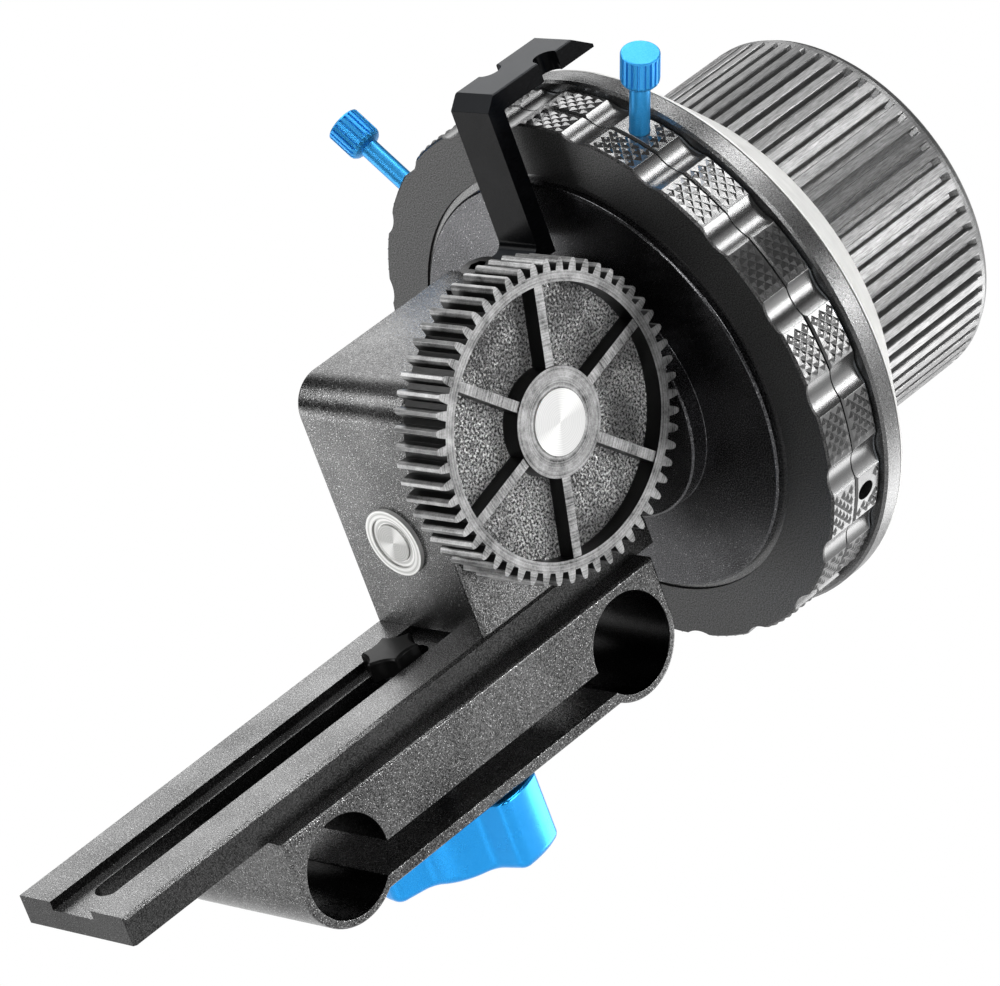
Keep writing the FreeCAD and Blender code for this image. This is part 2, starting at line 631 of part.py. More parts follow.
def bearing_balls():
    middle = on_wheel_axis(bearing_y() + BEARING_WIDTH / 2)
    ball = Part.makeSphere(BEARING_BALL_RADIUS, middle + ALONG_Z * ball_circle_radius())
    return Part.makeCompound(around(ball, BEARING_BALLS, middle, ALONG_Y))


def shaft_collar():
    """Collar on the wheel shaft that stops it from being pulled out of the housing."""
    end = HOUSING_FAR_FACE - HOUSING_END_WALL - FACE_GAP
    return tube(COLLAR_RADIUS, WHEEL_SHAFT_RADIUS, COLLAR_LENGTH, on_wheel_axis(end - COLLAR_LENGTH), ALONG_Y)


def wheel_spacer():
    """Sleeve between the bearing's inner race and the wheel."""
    start = HOUSING_FAR_FACE + HOUSING_NOSE_LENGTH
    return tube(WHEEL_SPACER_RADIUS, WHEEL_SHAFT_RADIUS, WHEEL_SPACER_LENGTH, on_wheel_axis(start), ALONG_Y)


def gear_spacer():
    """Sleeve on the gear shaft between its bush and the drive gear."""
    start = HOUSING_SIDE + SIDE_BUSH_FLANGE_THICKNESS + FACE_GAP
    return tube(GEAR_SPACER_RADIUS, GEAR_SHAFT_RADIUS, GEAR_BACK_X - start, on_gear_axis(start), ALONG_X)


def side_bush(side):
    """Flanged bush for the gear shaft; side is one on the gear's side, minus one opposite."""
    outward = ALONG_X * side
    face = on_gear_axis(side * HOUSING_SIDE)
    bore = GEAR_SHAFT_RADIUS + RUNNING_CLEARANCE
    inner = on_gear_axis(side * (HOUSING_SIDE - HOUSING_SIDE_WALL))
    sleeve = cylinder(SIDE_BUSH_RADIUS, HOUSING_SIDE_WALL, inner, outward)
    flange = cylinder(SIDE_BUSH_FLANGE_RADIUS, SIDE_BUSH_FLANGE_THICKNESS, face, outward)
    way = cylinder(bore, HOUSING_SIDE_WALL * 2, inner - outward * CUT_OVERRUN, outward)
    return sleeve.fuse(flange).removeSplitter().cut(way)


def helical_gear(phase):
    """Helical gear about +Z, centred on the origin; phase in tooth pitches."""
    pitch_angle = math.tau / HELICAL_TEETH
    root = HELICAL_PITCH_RADIUS - HELICAL_DEDENDUM
    tip = HELICAL_TIP_RADIUS
    half_root = pitch_angle * HELICAL_TOOTH_SHARE / 2
    half_tip = pitch_angle * HELICAL_TIP_SHARE / 2
    wires = []
    for index in range(HELICAL_SECTIONS):
        height = HELICAL_FACE_WIDTH * (index / HELICAL_SLICES - 1 / 2)
        twist = height / HELICAL_PITCH_RADIUS + phase * pitch_angle
        points = []
        for tooth in range(HELICAL_TEETH):
            middle = twist + tooth * pitch_angle
            for radius, offset in ((root, -half_root), (tip, -half_tip), (tip, half_tip), (root, half_root)):
                turn = middle + offset
                points.append(Vector(radius * math.cos(turn), radius * math.sin(turn), height))
        wires.append(Part.makePolygon(points + [points[0]]))
    return Part.makeLoft(wires, True, True)


def helical_blank_bore(gear, bore):
    low = Vector(0, 0, -HELICAL_FACE_WIDTH)
    way = cylinder(bore, HELICAL_FACE_WIDTH * 2, low, ALONG_Z)
    return gear.cut(way)


def hub_on(gear, radius, length, bore):
    """Plain hub on the upper end of a helical gear, bored for its shaft."""
    hub = tube(radius, bore, length, ALONG_Z * (HELICAL_FACE_WIDTH / 2), ALONG_Z)
    return helical_blank_bore(gear, bore).fuse(hub).removeSplitter()


def placed(shape, local_x, local_z, origin):
    """The shape with its own X and Z turned to two directions of the assembly."""
    local_y = local_z.cross(local_x)
    matrix = Matrix(
        local_x.x, local_y.x, local_z.x, origin.x,
        local_x.y, local_y.y, local_z.y, origin.y,
        local_x.z, local_y.z, local_z.z, origin.z,
        0, 0, 0, 1,
    )
    shape.Placement = FreeCAD.Placement(matrix)
    return shape


def wheel_helical_gear():
    """Helical gear on the wheel shaft, a tooth at its highest point."""
    gear = hub_on(helical_gear(0), HELICAL_HUB_RADIUS, HELICAL_HUB_LENGTH, WHEEL_SHAFT_RADIUS)
    return placed(gear, ALONG_Z, ALONG_Y, on_wheel_axis(GEAR_AXIS_Y))


def shaft_helical_gear():
    """Helical gear on the gear shaft, a tooth space at its lowest point."""
    gear = hub_on(helical_gear(1 / 2), HELICAL_HUB_RADIUS, HELICAL_HUB_LENGTH, GEAR_SHAFT_RADIUS)
    return placed(gear, ALONG_Z * -1, ALONG_X, on_gear_axis(0))


def clip_x():
    return -HOUSING_SIDE - SIDE_BUSH_FLANGE_THICKNESS - FACE_GAP - CLIP_THICKNESS


def gear_shaft():
    """Shaft across the housing with a clip groove at one end, the drive gear at the other."""
    low = clip_x() - SHAFT_TAIL
    shaft = cylinder(GEAR_SHAFT_RADIUS, gear_shaft_end().x - low, on_gear_axis(low), ALONG_X)
    groove = tube(
        GEAR_SHAFT_RADIUS + CUT_OVERRUN,
        GEAR_SHAFT_RADIUS - CLIP_GROOVE_DEPTH,
        CLIP_THICKNESS,
        on_gear_axis(clip_x()),
        ALONG_X,
    )
    return shaft.cut(groove)


def shaft_clip():
    """Retaining clip in the shaft's groove, open at its lower side."""
    inner = GEAR_SHAFT_RADIUS - CLIP_GROOVE_DEPTH
    clip = tube(CLIP_RADIUS, inner, CLIP_THICKNESS, on_gear_axis(clip_x()), ALONG_X)
    mouth = block(
        CLIP_THICKNESS + CUT_OVERRUN * 2,
        GEAR_SHAFT_RADIUS,
        CLIP_RADIUS,
        clip_x() + CLIP_THICKNESS / 2,
        GEAR_AXIS_Y - GEAR_SHAFT_RADIUS / 2,
        GEAR_AXIS_HEIGHT - CLIP_RADIUS,
    )
    return clip.cut(mouth)


def gear_shaft_end():
    return on_gear_axis(GEAR_FRONT_X - GEAR_CAP_DEPTH)


def gear_outline():
    """Toothed outline of the drive gear about the origin, as points along its edge."""
    pitch_angle = math.tau / GEAR_TEETH
    pitch_radius = GEAR_MODULE * GEAR_TEETH / 2
    tip = pitch_radius + GEAR_MODULE
    root = pitch_radius - GEAR_MODULE * GEAR_DEDENDUM_SHARE
    stations = [
        (root, GEAR_ROOT_SHARE),
        (pitch_radius, GEAR_TOOTH_SHARE),
        ((pitch_radius + tip) / 2, GEAR_MIDDLE_SHARE),
        (tip, GEAR_TIP_SHARE),
    ]
    points = []
    for tooth in range(GEAR_TEETH):
        middle = tooth * pitch_angle
        rising = [(radius, middle - pitch_angle * share / 2) for radius, share in stations]
        falling = [(radius, middle + pitch_angle * share / 2) for radius, share in reversed(stations)]
        for radius, turn in rising + falling:
            points.append((radius * math.cos(turn), radius * math.sin(turn)))
    return points


def drive_gear():
    """Moulded lens gear: toothed rim, thin web, six ribs and a hub on the shaft."""
    points = [(GEAR_AXIS_Y + y, GEAR_AXIS_HEIGHT + z) for y, z in gear_outline()]
    body = extruded_x(points, GEAR_BACK_X, GEAR_FACE_WIDTH)
    pocket_depth = (GEAR_FACE_WIDTH - GEAR_WEB_THICKNESS) / 2
    pockets = []
    for low in (GEAR_BACK_X - CUT_OVERRUN, GEAR_FRONT_X - pocket_depth):
        ring = tube(
            GEAR_RIM_INNER_RADIUS, GEAR_HUB_RADIUS, pocket_depth + CUT_OVERRUN, on_gear_axis(low), ALONG_X
        )
        pockets.append(ring)
    body = body.cut(pockets)
    rib = block(
        GEAR_FACE_WIDTH - GEAR_SPOKE_RECESS * 2,
        GEAR_RIM_INNER_RADIUS - GEAR_HUB_RADIUS + CUT_OVERRUN,
        GEAR_SPOKE_WIDTH,
        (GEAR_BACK_X + GEAR_FRONT_X) / 2,
        GEAR_AXIS_Y + GEAR_HUB_RADIUS - CUT_OVERRUN / 2,
        GEAR_AXIS_HEIGHT - GEAR_SPOKE_WIDTH / 2,
    )
    rib.rotate(on_gear_axis(0), ALONG_X, GEAR_SPOKE_FIRST_ANGLE)
    body = body.fuse(around(rib, GEAR_SPOKES, on_gear_axis(0), ALONG_X)).removeSplitter()
    start = on_gear_axis(GEAR_BACK_X - CUT_OVERRUN)
    bore = cylinder(GEAR_SHAFT_RADIUS, GEAR_FACE_WIDTH + CUT_OVERRUN, start, ALONG_X)
    seat = cylinder(GEAR_CAP_RADIUS, GEAR_CAP_DEPTH + CUT_OVERRUN, gear_shaft_end(), ALONG_X)
    return body.cut([bore, seat])


def gear_cap():
    """Bright turned cap that holds the drive gear on its shaft."""
    return cylinder(GEAR_CAP_RADIUS, GEAR_CAP_DEPTH + GEAR_CAP_PROUD, gear_shaft_end(), ALONG_X)


def shaft_screw_end():
    return on_wheel_axis(MARKING_Y - SHAFT_SCREW_GRIP)


def wheel_shaft():
    """Shaft from the bush on the housing's near face to the back of the drum."""
    near = HOUSING_NEAR_FACE - END_BUSH_FLANGE_THICKNESS
    shaft = cylinder(WHEEL_SHAFT_RADIUS, MARKING_Y - near, on_wheel_axis(near), ALONG_Y)
    return shaft.cut(cylinder(SHAFT_SCREW_RADIUS, SHAFT_SCREW_GRIP + CUT_OVERRUN, shaft_screw_end(), ALONG_Y))


def shaft_screw():
    """Wide-headed screw that pulls the drum onto the shaft, inside the grip."""
    head = cylinder(SHAFT_SCREW_HEAD_RADIUS, SHAFT_SCREW_HEAD_HEIGHT, on_wheel_axis(MARKING_Y), ALONG_Y)
    thread = cylinder(SHAFT_SCREW_RADIUS, SHAFT_SCREW_GRIP, shaft_screw_end(), ALONG_Y)
    return head.fuse(thread).removeSplitter()


def front_disc():
    """Disc that closes the drum, with a round boss facing the housing and a spigot behind."""
    spigot = DRUM_INNER_RADIUS
    return turned_on_wheel([
        (WHEEL_SHAFT_RADIUS, DISC_FACE_Y - DISC_BOSS_HEIGHT),
        (DISC_BOSS_RADIUS - RING_EDGE_CHAMFER, DISC_FACE_Y - DISC_BOSS_HEIGHT),
        (DISC_BOSS_RADIUS, DISC_FACE_Y - DISC_BOSS_HEIGHT + RING_EDGE_CHAMFER),
        (DISC_BOSS_RADIUS, DISC_FACE_Y),
        (DISC_RADIUS - RING_EDGE_CHAMFER, DISC_FACE_Y),
        (DISC_RADIUS, DISC_FACE_Y + RING_EDGE_CHAMFER),
        (DISC_RADIUS, DRUM_FRONT_Y),
        (spigot, DRUM_FRONT_Y),
        (spigot, DRUM_FRONT_Y + DISC_SPIGOT_DEPTH),
        (WHEEL_SHAFT_RADIUS, DRUM_FRONT_Y + DISC_SPIGOT_DEPTH),
    ])


def friction_ring(middle):
    """Round-section ring in the drum that makes one stop ring stay where it is turned."""
    section = FRICTION_RING_SECTION
    centre_radius = RING_BORE_RADIUS - FRICTION_RING_STANDOFF - section
    return Part.makeTorus(centre_radius, section, on_wheel_axis(middle), ALONG_Y)


def wheel_drum():
    """Flanged drum that the stop rings turn on, with a hub for the shaft."""
    hub_front = DRUM_FRONT_Y + DISC_SPIGOT_DEPTH
    outline = [
        (WHEEL_SHAFT_RADIUS, hub_front),
        (DRUM_HUB_RADIUS, hub_front),
        (DRUM_HUB_RADIUS, FLANGE_Y),
        (DRUM_INNER_RADIUS, FLANGE_Y),
        (DRUM_INNER_RADIUS, DRUM_FRONT_Y),
        (DRUM_RADIUS, DRUM_FRONT_Y),
        (DRUM_RADIUS, FLANGE_Y),
        (FLANGE_RADIUS - FLANGE_EDGE_CHAMFER, FLANGE_Y),
        (FLANGE_RADIUS, FLANGE_Y + FLANGE_EDGE_CHAMFER),
        (FLANGE_RADIUS, MARKING_Y - FLANGE_EDGE_CHAMFER),
        (FLANGE_RADIUS - FLANGE_EDGE_CHAMFER, MARKING_Y),
        (WHEEL_SHAFT_RADIUS, MARKING_Y),
    ]
    drum = turned_on_wheel(outline)
    grooves = [friction_ring(middle) for middle in (RING_A_MIDDLE, RING_B_MIDDLE)]
    holes = [grip_screw_way(index) for index in range(GRIP_SCREW_COUNT)]
    return drum.cut(grooves + holes)


def ring_tools(screw_angle, middle, hole_y, holes):
    """Cutting tools of one ring: its scallops and its radial threaded holes."""
    tools = []
    reach = RING_RADIUS - RING_SCALLOP_DEPTH + RING_SCALLOP_RADIUS
    for index in range(RING_SCALLOPS):
        angle = RING_FIRST_SCALLOP_ANGLE + FULL_TURN * index / RING_SCALLOPS
        base = on_wheel_axis(middle - RING_WIDTH) + radial(angle) * reach
        tools.append(cylinder(RING_SCALLOP_RADIUS, RING_WIDTH * 2, base, ALONG_Y))
    for index in range(holes):
        outward = radial(screw_angle + STOP_HOLE_STEP_ANGLE * index)
        base = on_wheel_axis(hole_y) + outward * (RING_BORE_RADIUS - CUT_OVERRUN)
        length = RING_RADIUS - RING_BORE_RADIUS + CUT_OVERRUN * 2
        tools.append(cylinder(STOP_SCREW_RADIUS + RUNNING_CLEARANCE, length, base, outward))
    return tools


def stop_ring(low_y, screw_angle, hole_y):
    """Ring with polished scallops, chamfered edges and two threaded holes a quarter turn apart."""
    high_y = low_y + RING_WIDTH
    ring = turned_on_wheel([
        (RING_BORE_RADIUS, low_y),
        (RING_RADIUS - RING_EDGE_CHAMFER, low_y),
        (RING_RADIUS, low_y + RING_EDGE_CHAMFER),
        (RING_RADIUS, high_y - RING_EDGE_CHAMFER),
        (RING_RADIUS - RING_EDGE_CHAMFER, high_y),
        (RING_BORE_RADIUS, high_y),
    ])
    return ring.cut(ring_tools(screw_angle, low_y + RING_WIDTH / 2, hole_y, 2))


def stop_screw(angle, place_y):
    """Thumb screw along the radius: plain shank, tapered neck and round head."""
    outward = radial(angle)
    centre = on_wheel_axis(place_y)
    start = RING_BORE_RADIUS + STOP_SCREW_TIP_GAP
    neck = STOP_HEAD_START
    shoulder = neck + STOP_HEAD_NECK_LENGTH
    end = neck + STOP_HEAD_LENGTH
    outline = [
        (0, start),
        (STOP_SCREW_RADIUS, start),
        (STOP_SCREW_RADIUS, neck),
        (STOP_HEAD_RADIUS - STOP_HEAD_NECK_LENGTH / 2, neck),
        (STOP_HEAD_RADIUS, shoulder),
        (STOP_HEAD_RADIUS, end - STOP_HEAD_CHAMFER),
        (STOP_HEAD_RADIUS - STOP_HEAD_CHAMFER, end),
        (0, end),
    ]
    points = [centre + outward * reach + ALONG_Y * radius for radius, reach in outline]
    return revolved(points, centre, outward)


def grip_screw_way(index):
    """Clearance for one of the screws between drum and grip."""
    outward = radial(FULL_TURN * index / GRIP_SCREW_COUNT)
    base = on_wheel_axis(FLANGE_Y - CUT_OVERRUN) + outward * GRIP_SCREW_CIRCLE
    return cylinder(GRIP_SCREW_RADIUS, GRIP_Y - FLANGE_Y + CUT_OVERRUN + GRIP_SCREW_GRIP, base, ALONG_Y)


def grip_screws():
    """Screws from inside the drum through flange and marking disc into the grip."""
    screws = []
    for index in range(GRIP_SCREW_COUNT):
        outward = radial(FULL_TURN * index / GRIP_SCREW_COUNT)
        base = on_wheel_axis(FLANGE_Y) + outward * GRIP_SCREW_CIRCLE
        thread = cylinder(GRIP_SCREW_RADIUS, GRIP_Y - FLANGE_Y + GRIP_SCREW_GRIP, base, ALONG_Y)
        head = cylinder(
            GRIP_SCREW_HEAD_RADIUS, GRIP_SCREW_HEAD_HEIGHT, base - ALONG_Y * GRIP_SCREW_HEAD_HEIGHT, ALONG_Y
        )
        screws.append(thread.fuse(head).removeSplitter())
    return Part.makeCompound(screws)


def marking_disc():
    """White marking ring: a hollow cone at forty-five degrees between flange and grip."""
    slant_wall = math.hypot(MARKING_WALL, MARKING_WALL)
    foot = MARKING_RADIUS + MARKING_EDGE - slant_wall
    roof = GRIP_Y - MARKING_WALL
    ring = turned_on_wheel([
        (MARKING_BORE_RADIUS, MARKING_Y),
        (MARKING_SEAT_RADIUS, MARKING_Y),
        (MARKING_SEAT_RADIUS, roof),
        (foot - (roof - MARKING_Y), roof),
        (foot, MARKING_Y),
        (MARKING_RADIUS, MARKING_Y),
        (MARKING_RADIUS, MARKING_Y + MARKING_EDGE),
        (MARKING_RADIUS - MARKING_SLOPE_LENGTH, GRIP_Y),
        (MARKING_BORE_RADIUS, GRIP_Y),
    ])
    return ring.cut([grip_screw_way(index) for index in range(GRIP_SCREW_COUNT)])


def grip_section():
    """Ribbed outline of the grip as pairs of radius and angle."""
    pitch = math.tau / GRIP_RIBS
    floor = GRIP_RADIUS - GRIP_GROOVE_DEPTH
    points = []
    for rib in range(GRIP_RIBS):
        middle = rib * pitch
        points.append((GRIP_RADIUS, middle - pitch * GRIP_GROOVE_SHARE / 2))
        points.append((floor, middle - pitch * GRIP_GROOVE_FLOOR_SHARE / 2))
        points.append((floor, middle + pitch * GRIP_GROOVE_FLOOR_SHARE / 2))
        points.append((GRIP_RADIUS, middle + pitch * GRIP_GROOVE_SHARE / 2))
    return points


def grip_rim():
    """Plain band past the ends of the grooves, which run out up to the grip's full radius."""
    start = GRIP_END_Y - GRIP_PLAIN_LENGTH
    floor = GRIP_RADIUS - GRIP_GROOVE_DEPTH
    return turned_on_wheel([
        (GRIP_INNER_RADIUS, start - GRIP_RUN_OUT_LENGTH),
        (floor, start - GRIP_RUN_OUT_LENGTH),
        (GRIP_RADIUS, start),
        (GRIP_RADIUS, GRIP_END_Y),
        (GRIP_INNER_RADIUS, GRIP_END_Y),
    ])


def hand_grip():
    """Hollow ribbed grip with a plain rounded rim and a shallow dish in its end."""
    corners = []
    for radius, turn in grip_section():
        corners.append(on_wheel_axis(GRIP_Y) + Vector(radius * math.cos(turn), 0, radius * math.sin(turn)))
    ribbed = Part.Face(Part.makePolygon(corners + [corners[0]])).extrude(ALONG_Y * GRIP_LENGTH)
    hollow_end = GRIP_END_Y - GRIP_END_WALL
    envelope = cylinder(GRIP_RADIUS, GRIP_LENGTH, on_wheel_axis(GRIP_Y), ALONG_Y)
    rim = [edge for edge in envelope.Edges if edge.BoundBox.YMin > GRIP_END_Y - FACE_GAP]
    envelope = envelope.makeFillet(GRIP_END_RADIUS, rim)
    body = ribbed.fuse(grip_rim()).common(envelope)
    hollow = cylinder(
        GRIP_INNER_RADIUS, hollow_end - GRIP_Y + CUT_OVERRUN, on_wheel_axis(GRIP_Y - CUT_OVERRUN), ALONG_Y
    )
    dish_floor = on_wheel_axis(GRIP_END_Y - GRIP_DISH_DEPTH)
    dish = cylinder(GRIP_DISH_RADIUS, GRIP_DISH_DEPTH + CUT_OVERRUN, dish_floor, ALONG_Y)
    ways = [grip_screw_way(index) for index in range(GRIP_SCREW_COUNT)]
    return body.cut([hollow, dish] + ways)


def arm_outline():
    """Side outline of the stop arm as pairs of Y and Z."""
    leg_back = ARM_LEG_Y + ARM_THICKNESS
    under = ARM_TOP - ARM_THICKNESS
    return [
        (ARM_TAB_NEAR_END, HOUSING_TOP),
        (leg_back, HOUSING_TOP),
        (leg_back, under),
        (ARM_TIP_Y, under),
        (ARM_TIP_Y, under + ARM_TIP_NOSE),
        (ARM_TIP_TOP_Y, ARM_TOP),
        (ARM_LEG_Y + ARM_CORNER_CHAMFER, ARM_TOP),
        (ARM_LEG_Y, ARM_TOP - ARM_CORNER_CHAMFER),
        (ARM_LEG_Y, ARM_TAB_TOP),
        (ARM_TAB_NEAR_END, ARM_TAB_TOP),
    ]


def stop_arm():
    """Bent arm with a pointed end and a half-round notch on each side for the stop screws."""
    body = extruded_x(arm_outline(), -ARM_WIDTH / 2, ARM_WIDTH)
    foot = Vector(0, ARM_LEG_Y, ARM_TAB_TOP)
    body = body.makeFillet(ARM_FOOT_FILLET, [edge for edge in body.Edges if passes(edge, foot)])
    ridge = [edge for edge in body.Edges if edge.BoundBox.ZMin > ARM_TOP - FACE_GAP]
    body = body.makeChamfer(ARM_EDGE_CHAMFER, [edge for edge in ridge if edge.BoundBox.YLength > FACE_GAP])
    tools = []
    reach = ARM_WIDTH / 2 - ARM_NOTCH_INSET
    for side, y in ((-1, SCREW_A_Y), (1, SCREW_B_Y)):
        base = Vector(side * reach, y, ARM_TOP - ARM_THICKNESS - CUT_OVERRUN)
        tools.append(cylinder(ARM_NOTCH_RADIUS, ARM_THICKNESS + CUT_OVERRUN * 2, base, ALONG_Z))
    tools.append(
        cylinder(
            ARM_SCREW_RADIUS,
            ARM_TAB_THICKNESS + CUT_OVERRUN * 2,
            Vector(0, ARM_SCREW_Y, HOUSING_TOP - CUT_OVERRUN),
            ALONG_Z,
        )
    )
    return body.cut(tools)


def arm_screw():
    """Cap screw that holds the arm's foot, with a hexagon socket."""
    head_base = Vector(0, ARM_SCREW_Y, ARM_TAB_TOP)
    head = cylinder(ARM_SCREW_HEAD_RADIUS, ARM_SCREW_HEAD_HEIGHT, head_base, ALONG_Z)
    thread = cylinder(ARM_SCREW_RADIUS, ARM_SCREW_GRIP + ARM_TAB_THICKNESS, arm_screw_end(), ALONG_Z)
    top = head_base + ALONG_Z * (ARM_SCREW_HEAD_HEIGHT - ARM_SCREW_SOCKET_DEPTH)
    sides = 6
    corners = []
    for index in range(sides):
        turn = math.tau * index / sides
        corners.append(top + Vector(math.cos(turn), math.sin(turn), 0) * ARM_SCREW_SOCKET_RADIUS)
    socket = Part.Face(Part.makePolygon(corners + [corners[0]])).extrude(ALONG_Z * ARM_SCREW_HEAD_HEIGHT)
    return head.fuse(thread).removeSplitter().cut(socket)


def build():
    """Every sub-part of the unit by its name."""
    return {
        "rod_clamp": rod_clamp(),
        "clamp_washer": clamp_washer(),
        "clamp_knob": clamp_knob(),
        "clamp_stud": clamp_stud(),
        "slot_nut": slot_nut(),
        "slide_plate": slide_plate(),
        "plate_screws": plate_screws(),
        "gearbox_housing": gearbox_housing(),
        "shaft_end_bush": shaft_end_bush(),
        "bearing_outer_race": bearing_outer_race(),
        "bearing_balls": bearing_balls(),
        "bearing_inner_race": bearing_inner_race(),
        "gear_side_bush": side_bush(1),
        "clip_side_bush": side_bush(-1),
        "wheel_helical_gear": wheel_helical_gear(),
        "shaft_helical_gear": shaft_helical_gear(),
        "gear_shaft": gear_shaft(),
        "shaft_clip": shaft_clip(),
        "drive_gear": drive_gear(),
        "gear_cap": gear_cap(),
        "gear_spacer": gear_spacer(),
        "wheel_shaft": wheel_shaft(),
        "shaft_collar": shaft_collar(),
        "wheel_spacer": wheel_spacer(),
        "shaft_screw": shaft_screw(),
        "front_disc": front_disc(),
        "wheel_drum": wheel_drum(),
        "friction_ring_a": friction_ring(RING_A_MIDDLE),
        "friction_ring_b": friction_ring(RING_B_MIDDLE),
        "stop_ring_a": stop_ring(RING_A_Y, STOP_SCREW_A_ANGLE, SCREW_A_Y),
        "stop_ring_b": stop_ring(RING_B_Y, STOP_SCREW_B_ANGLE - STOP_HOLE_STEP_ANGLE, SCREW_B_Y),
        "stop_screw_a": stop_screw(STOP_SCREW_A_ANGLE, SCREW_A_Y),
        "stop_screw_b": stop_screw(STOP_SCREW_B_ANGLE, SCREW_B_Y),
        "marking_disc": marking_disc(),
        "grip_screws": grip_screws(),
        "hand_grip": hand_grip(),
        "stop_arm": stop_arm(),
        "arm_screw": arm_screw(),
    }


def main():
    os.makedirs("parts", exist_ok=True)
    for name, shape in build().items():
        shape.exportStep("parts/" + name + ".step")
        print(name, len(shape.Solids), "solids", shape.isValid(), round(shape.Volume, 1), "mm3")


main()
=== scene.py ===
"""Looks of a follow focus unit: finishes, knurling, ribs, screws, light and camera."""
import logging
import math
from dataclasses import dataclass
from enum import Enum
from typing import Iterable

import bmesh
import bpy
from mathutils import Matrix, Vector


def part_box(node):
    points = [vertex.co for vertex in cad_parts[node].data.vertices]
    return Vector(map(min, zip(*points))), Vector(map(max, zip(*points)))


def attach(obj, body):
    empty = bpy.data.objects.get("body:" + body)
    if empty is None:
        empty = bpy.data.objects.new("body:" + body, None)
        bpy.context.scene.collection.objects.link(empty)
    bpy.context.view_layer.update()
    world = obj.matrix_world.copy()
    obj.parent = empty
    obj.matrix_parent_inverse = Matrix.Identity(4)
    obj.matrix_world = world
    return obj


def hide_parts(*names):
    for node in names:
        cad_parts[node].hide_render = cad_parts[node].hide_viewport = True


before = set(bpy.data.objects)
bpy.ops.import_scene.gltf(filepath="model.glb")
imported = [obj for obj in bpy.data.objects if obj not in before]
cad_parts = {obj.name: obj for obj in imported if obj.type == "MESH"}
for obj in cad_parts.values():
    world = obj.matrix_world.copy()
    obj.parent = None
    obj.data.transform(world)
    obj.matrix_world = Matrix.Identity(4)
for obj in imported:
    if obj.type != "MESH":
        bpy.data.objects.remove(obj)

LOG = logging.getLogger("follow_focus")
MM = 0.001
# Two points closer than this, in metres, are one place
SAME_PLACE = 1e-12
WHITE = (1.0, 1.0, 1.0, 1.0)

# Sizes of the part that the looks follow, in millimetres and degrees
WHEEL_AXIS_HEIGHT = 28.6
GEAR_AXIS = (0.0, 55.1, 40.5)
ROD_BORES = ((0.0, 0.0, 7.65), (60.0, 0.0, 7.65))
RING_RADIUS = 43.3
RING_WIDTH = 5.2
SCREW_A_ANGLE, SCREW_A_Y = 136.0, 85.6
SCREW_B_ANGLE, SCREW_B_Y = 65.0, 90.4
SPARE_HOLE_STEP = 90.0
ARM_SCREW_HEAD_HEIGHT = 2.2
WHEEL_CENTRE = Vector((0.0, 0.0, WHEEL_AXIS_HEIGHT)) * MM
GEAR_CENTRE = Vector(GEAR_AXIS) * MM


class Axis(Enum):
    """Directions that turned patterns run around."""

    X = (1.0, 0.0, 0.0)
    Y = (0.0, 1.0, 0.0)
    Z = (0.0, 0.0, 1.0)

    @property
    def vector(self) -> Vector:
        """The direction as a vector of length one."""
        return Vector(self.value)


def linear(hex_colour: str) -> tuple[float, float, float, float]:
    """Turns an sRGB colour into the linear values that shaders use.

    Args:
        hex_colour: Six hexadecimal digits.

    Returns:
        Linear red, green, blue and full alpha.
    """
    channels = []
    for start in range(0, len(hex_colour), 2):
        value = int(hex_colour[start : start + 2], 16) / 255
        channels.append(value / 12.92 if value <= 0.04045 else ((value + 0.055) / 1.055) ** 2.4)
    return (*channels, 1.0)


